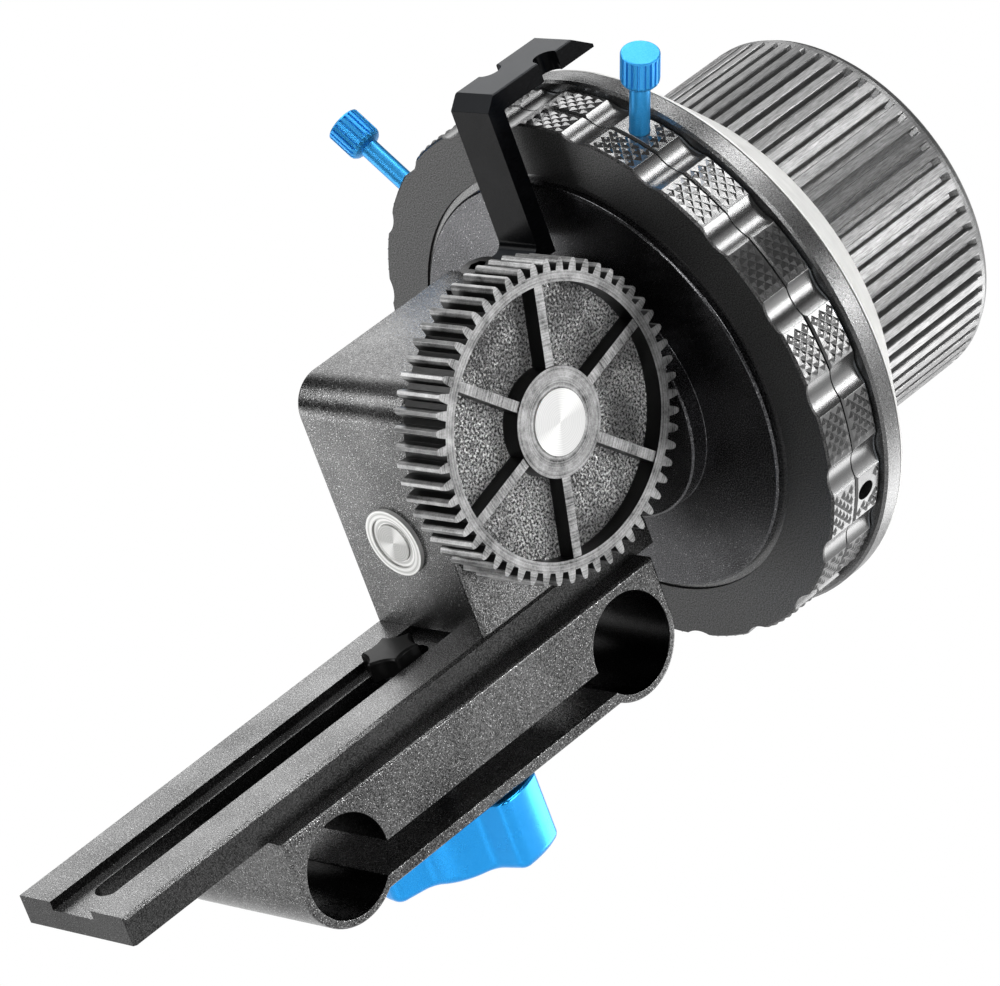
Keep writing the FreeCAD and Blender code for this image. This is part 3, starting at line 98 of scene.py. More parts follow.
class Shader:
    """A material's node tree with one short call for each node."""

    def __init__(self, name: str) -> None:
        """Starts a material with an empty node tree."""
        self.material = bpy.data.materials.new(name)
        self.material.use_nodes = True
        self.tree = self.material.node_tree
        self.tree.nodes.clear()

    def add(self, kind: str, settings: dict | None = None, **sockets):
        """Adds one node.

        Args:
            kind: Node type without its ShaderNode prefix.
            settings: Node properties to set.
            sockets: Input values or links by socket name, with underscores for blanks.

        Returns:
            The new node.
        """
        node = self.tree.nodes.new("ShaderNode" + kind)
        for key, value in (settings or {}).items():
            setattr(node, key, value)
        for key, value in sockets.items():
            self.feed(node, key.replace("_", " "), value)
        return node

    def feed(self, node, socket: str | int, value) -> None:
        """Links an output or sets a constant on one input."""
        target = node.inputs[int(socket)] if str(socket).isdigit() else node.inputs[socket]
        if isinstance(value, bpy.types.NodeSocket):
            self.tree.links.new(value, target)
        else:
            target.default_value = value

    def math(self, operation: str, *values):
        """Adds a Math node and returns its output."""
        node = self.tree.nodes.new("ShaderNodeMath")
        node.operation = operation
        for index, value in enumerate(values):
            self.feed(node, index, value)
        return node.outputs[0]

    def ramp(self, factor, stops: Iterable[tuple[float, float]]):
        """Adds a grey ColorRamp and returns its output."""
        node = self.tree.nodes.new("ShaderNodeValToRGB")
        points = list(stops)
        while len(node.color_ramp.elements) < len(points):
            node.color_ramp.elements.new(1.0)
        for element, (position, grey) in zip(node.color_ramp.elements, points):
            element.position = position
            element.color = (grey, grey, grey, 1.0)
        self.tree.links.new(factor, node.inputs[0])
        return node.outputs[0]

    def blend(self, factor, low, high):
        """Mixes two colours and returns the output."""
        node = self.add("Mix", {"data_type": "RGBA"})
        self.feed(node, 0, factor)
        self.feed(node, 6, low)
        self.feed(node, 7, high)
        return node.outputs[2]

    def place(self, centre: Vector = Vector(), stretch: tuple[float, float, float] = (1, 1, 1)):
        """Object coordinates in millimetres about a centre.

        Args:
            centre: Point in metres that becomes zero.
            stretch: Extra scale along each axis.

        Returns:
            The mapped vector's output.
        """
        source = self.add("TexCoord").outputs["Object"]
        moved = self.add("VectorMath", {"operation": "SUBTRACT"})
        self.feed(moved, 0, source)
        self.feed(moved, 1, tuple(centre))
        scale = tuple(value / MM for value in stretch)
        settings = {"vector_type": "POINT"}
        return self.add("Mapping", settings, Vector=moved.outputs[0], Scale=scale).outputs[0]

    def noise(self, vector, scale: float, detail: float = 2.0, roughness: float = 0.5):
        """Noise with a scale in cells per millimetre."""
        node = self.add("TexNoise", Vector=vector, Scale=scale, Detail=detail, Roughness=roughness)
        return node.outputs["Fac"]

    def bump(self, height, strength: float, distance_mm: float):
        """Adds a Bump node with its depth in millimetres."""
        node = self.add("Bump", Height=height, Strength=strength, Distance=distance_mm * MM)
        return node.outputs[0]

    def scaled(self, value, share: float):
        """A value times a share."""
        return self.math("MULTIPLY", value, share)

    def tint(self, factor, colours: tuple[str, str]):
        """The first colour where the factor is zero and the second where it is one."""
        return self.blend(factor, linear(colours[0]), linear(colours[1]))

    def between(self, value, low: float, high: float, colours: tuple[str, str]):
        """Runs from the first colour to the second while the value climbs from low to high."""
        return self.tint(self.ramp(value, ((low, 0.0), (high, 1.0))), colours)

    def facing(self, axis: Axis):
        """How far a face looks along an axis, from minus one to one."""
        normal = self.add("NewGeometry").outputs["Normal"]
        return self.add("SeparateXYZ", Vector=normal).outputs[axis.name]

    def lines(self, along, scale: float):
        """Uneven lines across one value, with a scale in lines per millimetre."""
        settings = {"noise_dimensions": "1D"}
        return self.add("TexNoise", settings, W=along, Scale=scale, Detail=3.0).outputs["Fac"]

    def finish(self, **sockets):
        """Adds the surface shader and output and returns the material."""
        surface = self.add("BsdfPrincipled", **sockets)
        output = self.add("OutputMaterial")
        self.tree.links.new(surface.outputs[0], output.inputs["Surface"])
        return self.material


@dataclass(frozen=True)
class BlastedMetal:
    """Anodised metal with a bead-blasted surface: dense fine grain with bright points."""

    name: str
    dark: str
    light: str
    sparkle: str = "a8a8a8"
    sparkle_from: float = 0.62
    grain_per_mm: float = 5.0
    roughness: float = 0.27
    relief_mm: float = 0.035
    metallic: float = 0.9
    sides: str = ""
    sides_share: float = 0.8
    bores: tuple[tuple[float, float, float], ...] = ()
    bored: str = "080808"

    def build(self) -> bpy.types.Material:
        """Makes the material."""
        shader = Shader(self.name)
        place = shader.place()
        cloud = shader.noise(place, 0.08, 3.0)
        grain = shader.noise(place, self.grain_per_mm, 3.0, 0.7)
        cell_scale = self.grain_per_mm * 0.9
        cells = shader.add("TexVoronoi", {"feature": "F1"}, Vector=place, Scale=cell_scale)
        chance = shader.add("SeparateColor", Color=cells.outputs["Color"]).outputs["Red"]
        point = shader.ramp(cells.outputs["Distance"], ((0.22, 1.0), (0.42, 0.0)))
        chosen = shader.ramp(chance, ((self.sparkle_from, 0.0), (1.0, 1.0)))
        lit = shader.math("MULTIPLY", point, chosen)
        tone = shader.math("ADD", shader.scaled(cloud, 0.2), shader.scaled(grain, 0.8))
        base = shader.between(tone, 0.40, 0.60, (self.dark, self.light))
        colour = shader.blend(lit, base, linear(self.sparkle))
        # Painted shade: faces that do not look up take the darker side colour
        if self.sides:
            side_shade_mask = shader.ramp(shader.facing(Axis.Z), ((0.5, self.sides_share), (0.85, 0.0)))
            colour = shader.blend(side_shade_mask, colour, linear(self.sides))
        # Painted shade: the inside of each rod bore is painted near black
        for bore in self.bores:
            colour = shader.blend(self.within(shader, place, *bore), colour, linear(self.bored))
        rough = shader.math("ADD", self.roughness - 0.06, shader.scaled(grain, 0.12))
        height = shader.math("ADD", grain, shader.scaled(lit, 0.3))
        normal = shader.bump(height, 0.6, self.relief_mm)
        return shader.finish(
            Base_Color=colour, Metallic=self.metallic, Roughness=rough, Normal=normal
        )

    @staticmethod
    def within(shader: Shader, place, y_mm: float, z_mm: float, radius_mm: float):
        """One inside a bore along X and zero elsewhere."""
        parts = shader.add("SeparateXYZ", Vector=place)
        across = shader.math("POWER", shader.math("SUBTRACT", parts.outputs["Y"], y_mm), 2.0)
        upward = shader.math("POWER", shader.math("SUBTRACT", parts.outputs["Z"], z_mm), 2.0)
        return shader.math("LESS_THAN", shader.math("ADD", across, upward), radius_mm**2)


@dataclass(frozen=True)
class GlossMetal:
    """Polished anodised metal with faint drawn lines and smudges."""

    name: str
    colour: str
    worn: str
    roughness: float = 0.16
    lines: tuple[float, float, float] = (1.0, 1.0, 1.0)
    lines_strength: float = 0.08
    lines_mm: float = 0.03
    metallic: float = 0.9
    specular: float = 0.5
    rubbed_top: str = ""

    def build(self) -> bpy.types.Material:
        """Makes the material."""
        shader = Shader(self.name)
        place = shader.place()
        smudge = shader.noise(place, 0.25, 4.0, 0.6)
        drawn = shader.noise(shader.place(stretch=self.lines), 6.0, 3.0, 0.7)
        colour = shader.between(drawn, 0.35, 0.8, (self.colour, self.worn))
        # Painted light: faces that look up take a lighter colour
        if self.rubbed_top:
            upward = shader.ramp(shader.facing(Axis.Z), ((0.6, 0.0), (0.9, 1.0)))
            colour = shader.blend(upward, colour, linear(self.rubbed_top))
        rough = shader.math("ADD", self.roughness - 0.05, shader.scaled(smudge, 0.14))
        normal = shader.bump(drawn, self.lines_strength, self.lines_mm)
        return shader.finish(
            Base_Color=colour,
            Metallic=self.metallic,
            Roughness=rough,
            Normal=normal,
            Specular_IOR_Level=self.specular,
        )


@dataclass(frozen=True)
class StopRingMetal:
    """Glossy anodised ring whose front face is blasted and whose rear edge is worn bright."""

    name: str
    front_y_mm: float
    rear_y_mm: float
    worn_from: float
    gloss: tuple[str, str] = ("4e4e4e", "727272")
    blasted: tuple[str, str] = ("1e1e1e", "5c5c5c")
    worn: str = "a8adb2"
    grain_per_mm: float = 5.0
    gloss_roughness: float = 0.25
    matt_extra: float = 0.17
    relief_mm: float = 0.035

    def build(self) -> bpy.types.Material:
        """Makes the material."""
        shader = Shader(self.name)
        place = shader.place()
        along = shader.add("SeparateXYZ", Vector=place).outputs["Y"]
        front = shader.math("LESS_THAN", along, self.front_y_mm)
        grain = shader.noise(place, self.grain_per_mm, 3.0, 0.7)
        fine = shader.noise(place, 9.0, 2.0, 0.6)
        worn = ((self.worn_from - 0.04, 0.0), (self.worn_from, 1.0))
        patchy = shader.ramp(shader.noise(place, 0.22, 2.0), worn)
        edge = shader.math("MULTIPLY", shader.math("GREATER_THAN", along, self.rear_y_mm), patchy)
        matt = shader.between(grain, 0.40, 0.62, self.blasted)
        glossy = shader.tint(fine, self.gloss)
        colour = shader.blend(edge, shader.blend(front, glossy, matt), linear(self.worn))
        rough = shader.math("ADD", self.gloss_roughness, shader.scaled(front, self.matt_extra))
        blast = shader.math("MULTIPLY", grain, front)
        height = shader.math("ADD", shader.scaled(fine, 0.35), blast)
        normal = shader.bump(height, 0.6, self.relief_mm)
        return shader.finish(Base_Color=colour, Metallic=0.9, Roughness=rough, Normal=normal)


@dataclass(frozen=True)
class TurnedMetal:
    """Lathe-turned metal: fine rings about one axis."""

    name: str
    colour: str
    shade: str
    centre: Vector
    axis: Axis
    rings_per_mm: float = 2.2
    relief_mm: float = 0.012
    roughness: float = 0.26
    metallic: float = 1.0
    sheen_share: float = 0.0
    sheen_turn: float = 0.6

    def build(self) -> bpy.types.Material:
        """Makes the material."""
        shader = Shader(self.name)
        place = shader.place(self.centre)
        keep = tuple(0.0 if value else 1.0 for value in self.axis.value)
        flat = shader.add("VectorMath", {"operation": "MULTIPLY"})
        shader.feed(flat, 0, place)
        shader.feed(flat, 1, keep)
        length = shader.add("VectorMath", {"operation": "LENGTH"})
        shader.feed(length, 0, flat.outputs[0])
        radius = length.outputs["Value"]
        wave = shader.math("SINE", shader.scaled(radius, math.tau * self.rings_per_mm))
        uneven = shader.lines(radius, 5.0)
        rings = shader.math("ADD", shader.scaled(wave, 0.3), uneven)
        tone = shader.ramp(rings, ((0.2, 0.0), (0.9, 1.0)))
        if self.sheen_share:
            tone = shader.blend(self.sheen_share, tone, self.sheen(shader, flat.outputs[0]))
        colour = shader.blend(tone, linear(self.shade), linear(self.colour))
        normal = shader.bump(rings, 0.6, self.relief_mm)
        rough = shader.math("ADD", self.roughness, shader.scaled(uneven, 0.1))
        return shader.finish(
            Base_Color=colour, Metallic=self.metallic, Roughness=rough, Normal=normal
        )

    def sheen(self, shader: Shader, flat):
        """Two bright sectors opposite each other, as turned faces show under a strip lamp."""
        parts = shader.add("SeparateXYZ", Vector=flat)
        across, along = {"X": "YZ", "Y": "XZ", "Z": "XY"}[self.axis.name]
        turn = shader.math("ARCTAN2", parts.outputs[along], parts.outputs[across])
        swing = shader.scaled(shader.math("SUBTRACT", turn, self.sheen_turn), 2.0)
        return shader.ramp(shader.math("COSINE", swing), ((0.2, 0.0), (0.95, 1.0)))


@dataclass(frozen=True)
class MouldedPlastic:
    """Moulded plastic with flow marks and a fine skin."""

    name: str
    dark: str
    light: str
    roughness: float = 0.45
    skin_mm: float = 0.02

    def build(self) -> bpy.types.Material:
        """Makes the material."""
        shader = Shader(self.name)
        place = shader.place()
        flow = shader.noise(place, 0.35, 4.0, 0.6)
        fine = shader.noise(place, 5.0, 2.0)
        colour = shader.between(flow, 0.3, 0.8, (self.dark, self.light))
        rough = shader.math("ADD", self.roughness - 0.1, shader.scaled(flow, 0.25))
        normal = shader.bump(fine, 0.9, self.skin_mm)
        return shader.finish(Base_Color=colour, Roughness=rough, Normal=normal)


@dataclass(frozen=True)
class GearPlastic:
    """Moulded gear: smoky faces with flow marks, a coarse pitted web, and painted shade on the
    pocket walls and tooth flanks.
    """

    name: str = "MouldedGear"
    face: tuple[str, str] = ("262626", "b0b0b0")
    web: tuple[str, str] = ("303030", "ffffff")
    wall: str = "070707"
    flank: str = "1c1c1c"
    web_x_mm: tuple[float, float] = (17.2, 20.2)
    pocket_radius_mm: float = 20.2
    land_radius_mm: float = 22.5
    pits_per_mm: float = 2.6
    rings_per_mm: float = 3.0
    pit_mm: float = 0.2
    roughness: float = 0.24
    metallic: float = 0.6

    def build(self) -> bpy.types.Material:
        """Makes the material."""
        shader = Shader(self.name)
        place = shader.place(GEAR_CENTRE)
        parts = shader.add("SeparateXYZ", Vector=place)
        off_axis = shader.math("MULTIPLY", parts.outputs["Y"], parts.outputs["Y"])
        upward = shader.math("MULTIPLY", parts.outputs["Z"], parts.outputs["Z"])
        radius = shader.math("SQRT", shader.math("ADD", off_axis, upward))
        inside = shader.math("LESS_THAN", radius, self.pocket_radius_mm)
        # Painted shade: sideways faces inside the pockets and on the tooth flanks and gullets take
        # dark colours
        sideways = shader.math("LESS_THAN", shader.math("ABSOLUTE", shader.facing(Axis.X)), 0.5)
        wall = shader.math("MULTIPLY", inside, sideways)
        in_land = shader.math("LESS_THAN", radius, self.land_radius_mm)
        flank = shader.math("MULTIPLY", sideways, in_land)
        low, high = self.web_x_mm
        above = shader.math("GREATER_THAN", parts.outputs["X"], low)
        below = shader.math("LESS_THAN", parts.outputs["X"], high)
        web = shader.math("MULTIPLY", shader.math("MULTIPLY", above, below), inside)
        flow = shader.noise(place, 0.3, 5.0, 0.65)
        fine = shader.noise(place, 4.0, 3.0, 0.6)
        coarse = shader.noise(place, self.pits_per_mm, 3.0, 0.7)
        pits = shader.ramp(coarse, ((0.42, 0.0), (0.6, 1.0)))
        cloud = shader.ramp(shader.noise(place, 0.13, 2.0), ((0.4, 0.45), (0.54, 1.0)))
        turned = shader.lines(radius, self.rings_per_mm)
        smoke = shader.math("ADD", shader.scaled(flow, 0.5), shader.scaled(fine, 0.2))
        smoke = shader.math("ADD", smoke, shader.scaled(turned, 0.3))
        plain = shader.between(smoke, 0.36, 0.66, self.face)
        pitted = shader.tint(shader.math("MULTIPLY", pits, cloud), self.web)
        moulded = shader.blend(flank, shader.blend(web, plain, pitted), linear(self.flank))
        colour = shader.blend(wall, moulded, linear(self.wall))
        rough = shader.math("ADD", self.roughness, shader.scaled(flow, 0.16))
        height = shader.math("ADD", shader.scaled(fine, 0.12), shader.math("MULTIPLY", pits, web))
        normal = shader.bump(height, 0.8, self.pit_mm)
        return shader.finish(
            Base_Color=colour, Metallic=self.metallic, Roughness=rough, Normal=normal
        )


@dataclass(frozen=True)
class Finishes:
    """Every material of the unit by its short name."""

    made: dict[str, bpy.types.Material]

    @classmethod
    def build(cls) -> "Finishes":
        """Builds all the materials."""
        wheel = {"centre": WHEEL_CENTRE, "axis": Axis.Y}
        gear = {"centre": GEAR_CENTRE, "axis": Axis.X}
        bright = {"sparkle": "d0d0d0", "sparkle_from": 0.5}
        makers = {
            "clamp": BlastedMetal("BlastedClamp", "121212", "6a6a6a", bores=ROD_BORES, **bright),
            "plate": BlastedMetal("BlastedPlate", "202020", "8c8c8c", sides="080808", **bright),
            "housing": BlastedMetal("BlastedHousing", "1e1e1e", "787878", sparkle="d0d0d0"),
            "disc": BlastedMetal(
                "BlastedDisc", "181819", "5e5e60", sparkle_from=0.84, relief_mm=0.018, metallic=1.0
            ),
            "drum": BlastedMetal(
                "SatinFlange", "4c4c4c", "727272", sparkle_from=0.9, roughness=0.28
            ),
            "ring_a": StopRingMetal("StopRingA", front_y_mm=83.4, rear_y_mm=90.0, worn_from=0.9),
            "ring_b": StopRingMetal("StopRingB", front_y_mm=80.0, rear_y_mm=93.25, worn_from=0.5),
            "arm": GlossMetal(
                "GlossArm", "040405", "101113", roughness=0.18, lines=(1, 0.12, 1), metallic=0.1,
                specular=0.03, rubbed_top="2e3033",
            ),
            "grip": GlossMetal("SatinGrip", "666666", "a2a2a2", roughness=0.38, lines=(1, 0.08, 1)),
            "blue_knob": GlossMetal("BlueKnob", "1a8edc", "34a4ea", roughness=0.24, metallic=0.85),
            "blue_screw": GlossMetal("BlueScrew", "2294dc", "4eaeea", roughness=0.38, metallic=0.7),
            "black_nut": GlossMetal(
                "BlackNut", "050505", "161616", roughness=0.3, metallic=0.0, specular=0.12
            ),
            "black_screw": GlossMetal("BlackScrew", "0a0a0a", "2a2a2a", roughness=0.26),
            "steel": TurnedMetal("TurnedSteel", "b9bbbe", "8b8d90", **wheel),
            "gear_steel": TurnedMetal("TurnedGearSteel", "b9bbbe", "8b8d90", **gear),
            "bush": TurnedMetal(
                "TurnedBush", "f4f4f2", "b4b4b2", **wheel, rings_per_mm=1.4, roughness=0.36,
                metallic=0.6,
            ),
            "cap": TurnedMetal(
                "TurnedCap", "e0e0de", "bababa", **gear, rings_per_mm=3.2, roughness=0.36,
                metallic=0.5, sheen_share=0.6,
            ),
            "shaft_end": TurnedMetal(
                "TurnedShaft", "e4e4e2", "a4a4a2", **wheel, rings_per_mm=3.0, roughness=0.34,
                metallic=0.6, sheen_share=0.7,
            ),
            "bronze": TurnedMetal("SinteredBush", "a98650", "775c33", **gear, roughness=0.4),
            "gear": GearPlastic(),
            "white": MouldedPlastic("WhiteMarking", "cacac8", "dcdcda", roughness=0.5),
            "washer": MouldedPlastic("DarkWasher", "101010", "1d1d1d", roughness=0.5),
            "rubber": MouldedPlastic("BlackRubber", "0d0d0d", "181818", roughness=0.7),
        }
        return cls({key: maker.build() for key, maker in makers.items()})

    def __getitem__(self, key: str) -> bpy.types.Material:
        """The material with a short name."""
        return self.made[key]


NODE_FINISH = {
    "rod_clamp": "clamp",
    "clamp_washer": "washer",
    "slot_nut": "black_nut",
    "clamp_knob": "blue_knob",
    "clamp_stud": "steel",
    "slide_plate": "plate",
    "plate_screws": "steel",
    "gearbox_housing": "housing",
    "shaft_end_bush": "bush",
    "bearing_outer_race": "steel",
    "bearing_balls": "steel",
    "bearing_inner_race": "steel",
    "gear_side_bush": "bronze",
    "clip_side_bush": "bronze",
    "wheel_helical_gear": "steel",
    "shaft_helical_gear": "gear_steel",
    "gear_shaft": "gear_steel",
    "shaft_clip": "black_screw",
    "drive_gear": "gear",
    "gear_cap": "cap",
    "gear_spacer": "gear_steel",
    "wheel_shaft": "shaft_end",
    "shaft_collar": "steel",
    "wheel_spacer": "steel",
    "shaft_screw": "steel",
    "front_disc": "disc",
    "wheel_drum": "drum",
    "friction_ring_a": "rubber",
    "friction_ring_b": "rubber",
    "stop_ring_a": "ring_a",
    "stop_ring_b": "ring_b",
    "stop_screw_a": "blue_screw",
    "stop_screw_b": "blue_screw",
    "marking_disc": "white",
    "grip_screws": "steel",
    "hand_grip": "grip",
    "stop_arm": "arm",
    "arm_screw": "black_screw",
}


def new_object(name: str, bm: bmesh.types.BMesh, material: bpy.types.Material) -> bpy.types.Object:
    """Turns a bmesh into an object of the scene with one material, and frees the bmesh."""
    mesh = bpy.data.meshes.new(name)
    bm.to_mesh(mesh)
    bm.free()
    mesh.materials.append(material)
    made = bpy.data.objects.new(name, mesh)
    bpy.context.scene.collection.objects.link(made)
    return made


def new_piece(
    name: str, bm: bmesh.types.BMesh, material: bpy.types.Material, body: str
) -> bpy.types.Object:
    """Turns a bmesh into a piece that rides on a body.

    Args:
        name: Name of the piece.
        bm: Its shape in the part's frame; freed here.
        material: Its finish.
        body: Body that carries it.

    Returns:
        The new object.
    """
    piece = new_object(name, bm, material)
    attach(piece, body)
    LOG.info("%s: %d faces", name, len(piece.data.polygons))
    return piece


@dataclass(frozen=True)
class SoftEdges:
    """A merged copy of a CAD node whose sharp edges get a small rounded bevel."""

    node: str
    width_mm: float = 0.2
    segments: int = 2
    flat_deg: float = 1.0
    sharp_deg: float = 32.0
    merge_mm: float = 0.001

    def build(self, finishes: Finishes, body: str, slot: str) -> None:
        """Makes the copy and lets it stand for the node."""
        bm = bmesh.new()
        bm.from_mesh(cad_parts[self.node].data)
        bmesh.ops.remove_doubles(bm, verts=bm.verts, dist=self.merge_mm * MM)
        flat = math.radians(self.flat_deg)
        bmesh.ops.dissolve_limit(
            bm, angle_limit=flat, verts=bm.verts, edges=bm.edges, delimit={"NORMAL"}
        )
        limit = math.radians(self.sharp_deg)
        for face in bm.faces:
            face.smooth = True
        for edge in bm.edges:
            edge.smooth = edge.calc_face_angle(math.pi) < limit
        piece = new_piece(self.node + ".soft", bm, finishes[NODE_FINISH[self.node]], body)
        bevel = piece.modifiers.new("SoftEdges", "BEVEL")
        bevel.width = self.width_mm * MM
        bevel.segments = self.segments
        bevel.limit_method = "ANGLE"
        bevel.angle_limit = limit
        bevel.harden_normals = True
        bevel.use_clamp_overlap = True
        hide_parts(self.node)


def frame_along(axis: Vector, origin: Vector, first: Vector) -> Matrix:
    """Matrix whose Z is the axis and whose X is the first direction."""
    z = axis.normalized()
    x = (first - z * first.dot(z)).normalized()
    y = z.cross(x)
    turn = Matrix((x, y, z)).transposed().to_4x4()
    return Matrix.Translation(origin) @ turn


@dataclass(frozen=True)
class RibbedTurning:
    """A round part built up ring by ring, each ring with ribs of its own depth.

    stations are (place along the axis, radius, groove depth), all in millimetres. profile goes
    round one rib from the middle of a groove, as (share of the pitch, share of the depth).
    """

    ribs: int
    stations: tuple[tuple[float, float, float], ...]
    profile: tuple[tuple[float, float], ...] = (
        (0.0, 1.0),
        (0.14, 1.0),
        (0.21, 0.12),
        (0.25, 0.0),
        (0.5, 0.0),
        (0.75, 0.0),
        (0.79, 0.12),
        (0.86, 1.0),
    )
    sharp_deg: float = 24.0

    def shape(self, matrix: Matrix) -> bmesh.types.BMesh:
        """Builds the closed solid in the part's frame."""
        bm = bmesh.new()
        points = [
            (math.tau * (rib + share) / self.ribs, cut)
            for rib in range(self.ribs)
            for share, cut in self.profile
        ]
        bmesh.ops.create_circle(bm, cap_ends=True, segments=len(points), radius=1.0)
        bm.verts.ensure_lookup_table()
        order = sorted(bm.verts, key=lambda vert: math.atan2(vert.co.y, vert.co.x) % math.tau)
        cap = next(iter(bm.faces))
        self.move(order, points, self.stations[0])
        for station in self.stations[1:]:
            made = bmesh.ops.extrude_face_region(bm, geom=[cap])["geom"]
            order = [self.partner(made, vert) for vert in order]
            cap = next(item for item in made if isinstance(item, bmesh.types.BMFace))
            self.move(order, points, station)
        bmesh.ops.recalc_face_normals(bm, faces=bm.faces)
        for face in bm.faces:
            face.smooth = len(face.verts) == 4
        for edge in bm.edges:
            edge.smooth = edge.calc_face_angle(math.pi) < math.radians(self.sharp_deg)
        bm.transform(matrix)
        return bm

    @staticmethod
    def partner(made: list, vert: bmesh.types.BMVert) -> bmesh.types.BMVert:
        """The extruded copy of a ring's vertex."""
        for edge in vert.link_edges:
            other = edge.other_vert(vert)
            if (other.co - vert.co).length < SAME_PLACE:
                return other
        raise ValueError("a ring's vertex has no copy")

    @staticmethod
    def move(
        order: list, points: list[tuple[float, float]], station: tuple[float, float, float]
    ) -> None:
        """Puts one ring of vertices at its station."""
        along, radius, depth = station
        for vert, (angle, cut) in zip(order, points):
            reach = radius - depth * cut
            vert.co = Vector((math.cos(angle) * reach, math.sin(angle) * reach, along)) * MM


@dataclass(frozen=True)
class KnurledFields:
    """Diamond knurling between the scallops of a stop ring, left out around its threaded holes."""

    ring: str
    holes_deg: tuple[float, float]
    hole_y_mm: float
    radius_mm: float = RING_RADIUS
    width_mm: float = RING_WIDTH
    fields: int = 20
    first_deg: float = 10.0
    half_field_deg: float = 5.2
    rows: int = 3
    columns: int = 4
    height_mm: float = 0.26
    sunk_mm: float = 0.02
    edge_mm: float = 0.15
    fill_share: float = 1.0
    top_share: float = 0.24
    bare_mm: float = 2.7

    def build(self, finishes: Finishes) -> None:
        """Sets a pyramid on every place of the diamond pattern."""
        low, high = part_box(self.ring)
        middle_y = (low.y + high.y) / 2 / MM
        pitch_along = (self.width_mm - self.edge_mm * 2) / self.rows
        pitch_deg = self.half_field_deg * 2 / self.columns
        pitch_round = math.radians(pitch_deg) * self.radius_mm
        bm = bmesh.new()
        stretch = Matrix.Diagonal((pitch_round / pitch_along, 1.0, 1.0, 1.0))
        reach = self.radius_mm - self.sunk_mm + self.height_mm / 2
        for field in range(self.fields):
            centre = self.first_deg + field * 360 / self.fields
            for across, along in self.places():
                turn_deg = centre + across * pitch_deg
                place_y = middle_y + along * pitch_along
                if self.is_bare(turn_deg, place_y):
                    continue
                angle = math.radians(turn_deg)
                outward = Vector((math.cos(angle), 0.0, math.sin(angle)))
                origin = (Vector((0.0, place_y, WHEEL_AXIS_HEIGHT)) + outward * reach) * MM
                around = Vector((-math.sin(angle), 0.0, math.cos(angle)))
                bmesh.ops.create_cone(
                    bm,
                    cap_ends=True,
                    segments=4,
                    radius1=pitch_along / 2 * self.fill_share * MM,
                    radius2=pitch_along / 2 * self.top_share * MM,
                    depth=self.height_mm * MM,
                    matrix=frame_along(outward, origin, around) @ stretch,
                )
        new_piece(self.ring + ".knurl", bm, finishes[NODE_FINISH[self.ring]], self.ring)

    def is_bare(self, turn_deg: float, place_y: float) -> bool:
        """Whether a place of the pattern lies beside a threaded hole."""
        for hole_deg in self.holes_deg:
            apart = math.radians((turn_deg - hole_deg + 180.0) % 360.0 - 180.0) * self.radius_mm
            if math.hypot(apart, place_y - self.hole_y_mm) < self.bare_mm:
                return True
        return False

    def places(self) -> Iterable[tuple[float, float]]:
        """Places of the diamonds inside one field, in pitches from its middle."""
        for row in range(self.rows):
            for column in range(self.columns):
                yield column - (self.columns - 1) / 2, row - (self.rows - 1) / 2
        for row in range(self.rows - 1):
            for column in range(self.columns - 1):
                yield column - (self.columns - 2) / 2, row - (self.rows - 2) / 2


@dataclass(frozen=True)
class ThumbScrew:
    """Blue stop screw: plain shank, rounded base, knurled flank and a smooth cap."""

    node: str
    angle_deg: float
    ribs: int = 20
    knurl_mm: float = 0.3

    def build(self, finishes: Finishes) -> None:
        """Builds the screw along its radius and lets it stand for the CAD screw."""
        low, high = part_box(self.node)
        turn = math.radians(self.angle_deg)
        outward = Vector((math.cos(turn), 0.0, math.sin(turn)))
        origin = Vector((0.0, (low.y + high.y) / 2, WHEEL_AXIS_HEIGHT * MM))
        depth = self.knurl_mm
        stations = (
            (35.3, 1.2, 0.0),
            (35.6, 1.5, 0.0),
            (51.6, 1.5, 0.0),
            (51.8, 2.0, 0.0),
            (52.0, 2.45, 0.0),
            (52.4, 2.78, depth * 0.6),
            (52.8, 2.88, depth),
            (56.85, 2.88, depth),
            (57.0, 2.88, 0.0),
            (57.13, 2.84, 0.0),
            (57.24, 2.68, 0.0),
            (57.17, 2.45, 0.0),
        )
        turning = RibbedTurning(self.ribs, stations)
        bm = turning.shape(frame_along(outward, origin, Axis.Y.vector))
        piece = new_piece(self.node + ".thumb", bm, finishes["blue_screw"], self.node)
        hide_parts(self.node)


@dataclass(frozen=True)
class RibbedGrip:
    """Hand grip with straight ribs that run out before its rounded end."""

    node: str = "hand_grip"
    ribs: int = 66
    radius_mm: float = 29.1
    depth_mm: float = 1.15

    def build(self, finishes: Finishes) -> None:
        """Builds the grip and lets it stand for the CAD grip."""
        low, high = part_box(self.node)
        start, end = low.y / MM, high.y / MM
        radius, depth = self.radius_mm, self.depth_mm
        stations = (
            (start, radius - 3.0, 0.0),
            (start, radius, depth),
            (end - 3.6, radius, depth),
            (end - 2.7, radius, 0.0),
            (end - 2.0, radius - 0.05, 0.0),
            (end - 1.1, radius - 0.5, 0.0),
            (end - 0.45, radius - 1.15, 0.0),
            (end - 0.08, radius - 2.0, 0.0),
            (end, radius - 2.8, 0.0),
            (end, 20.6, 0.0),
            (end - 0.25, 20.1, 0.0),
            (end - 1.5, 19.6, 0.0),
            (end - 1.5, 3.0, 0.0),
        )
        turning = RibbedTurning(self.ribs, stations)
        bm = turning.shape(frame_along(Axis.Y.vector, WHEEL_CENTRE, Axis.X.vector))
        piece = new_piece(self.node + ".ribbed", bm, finishes["grip"], "handwheel")
        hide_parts(self.node)


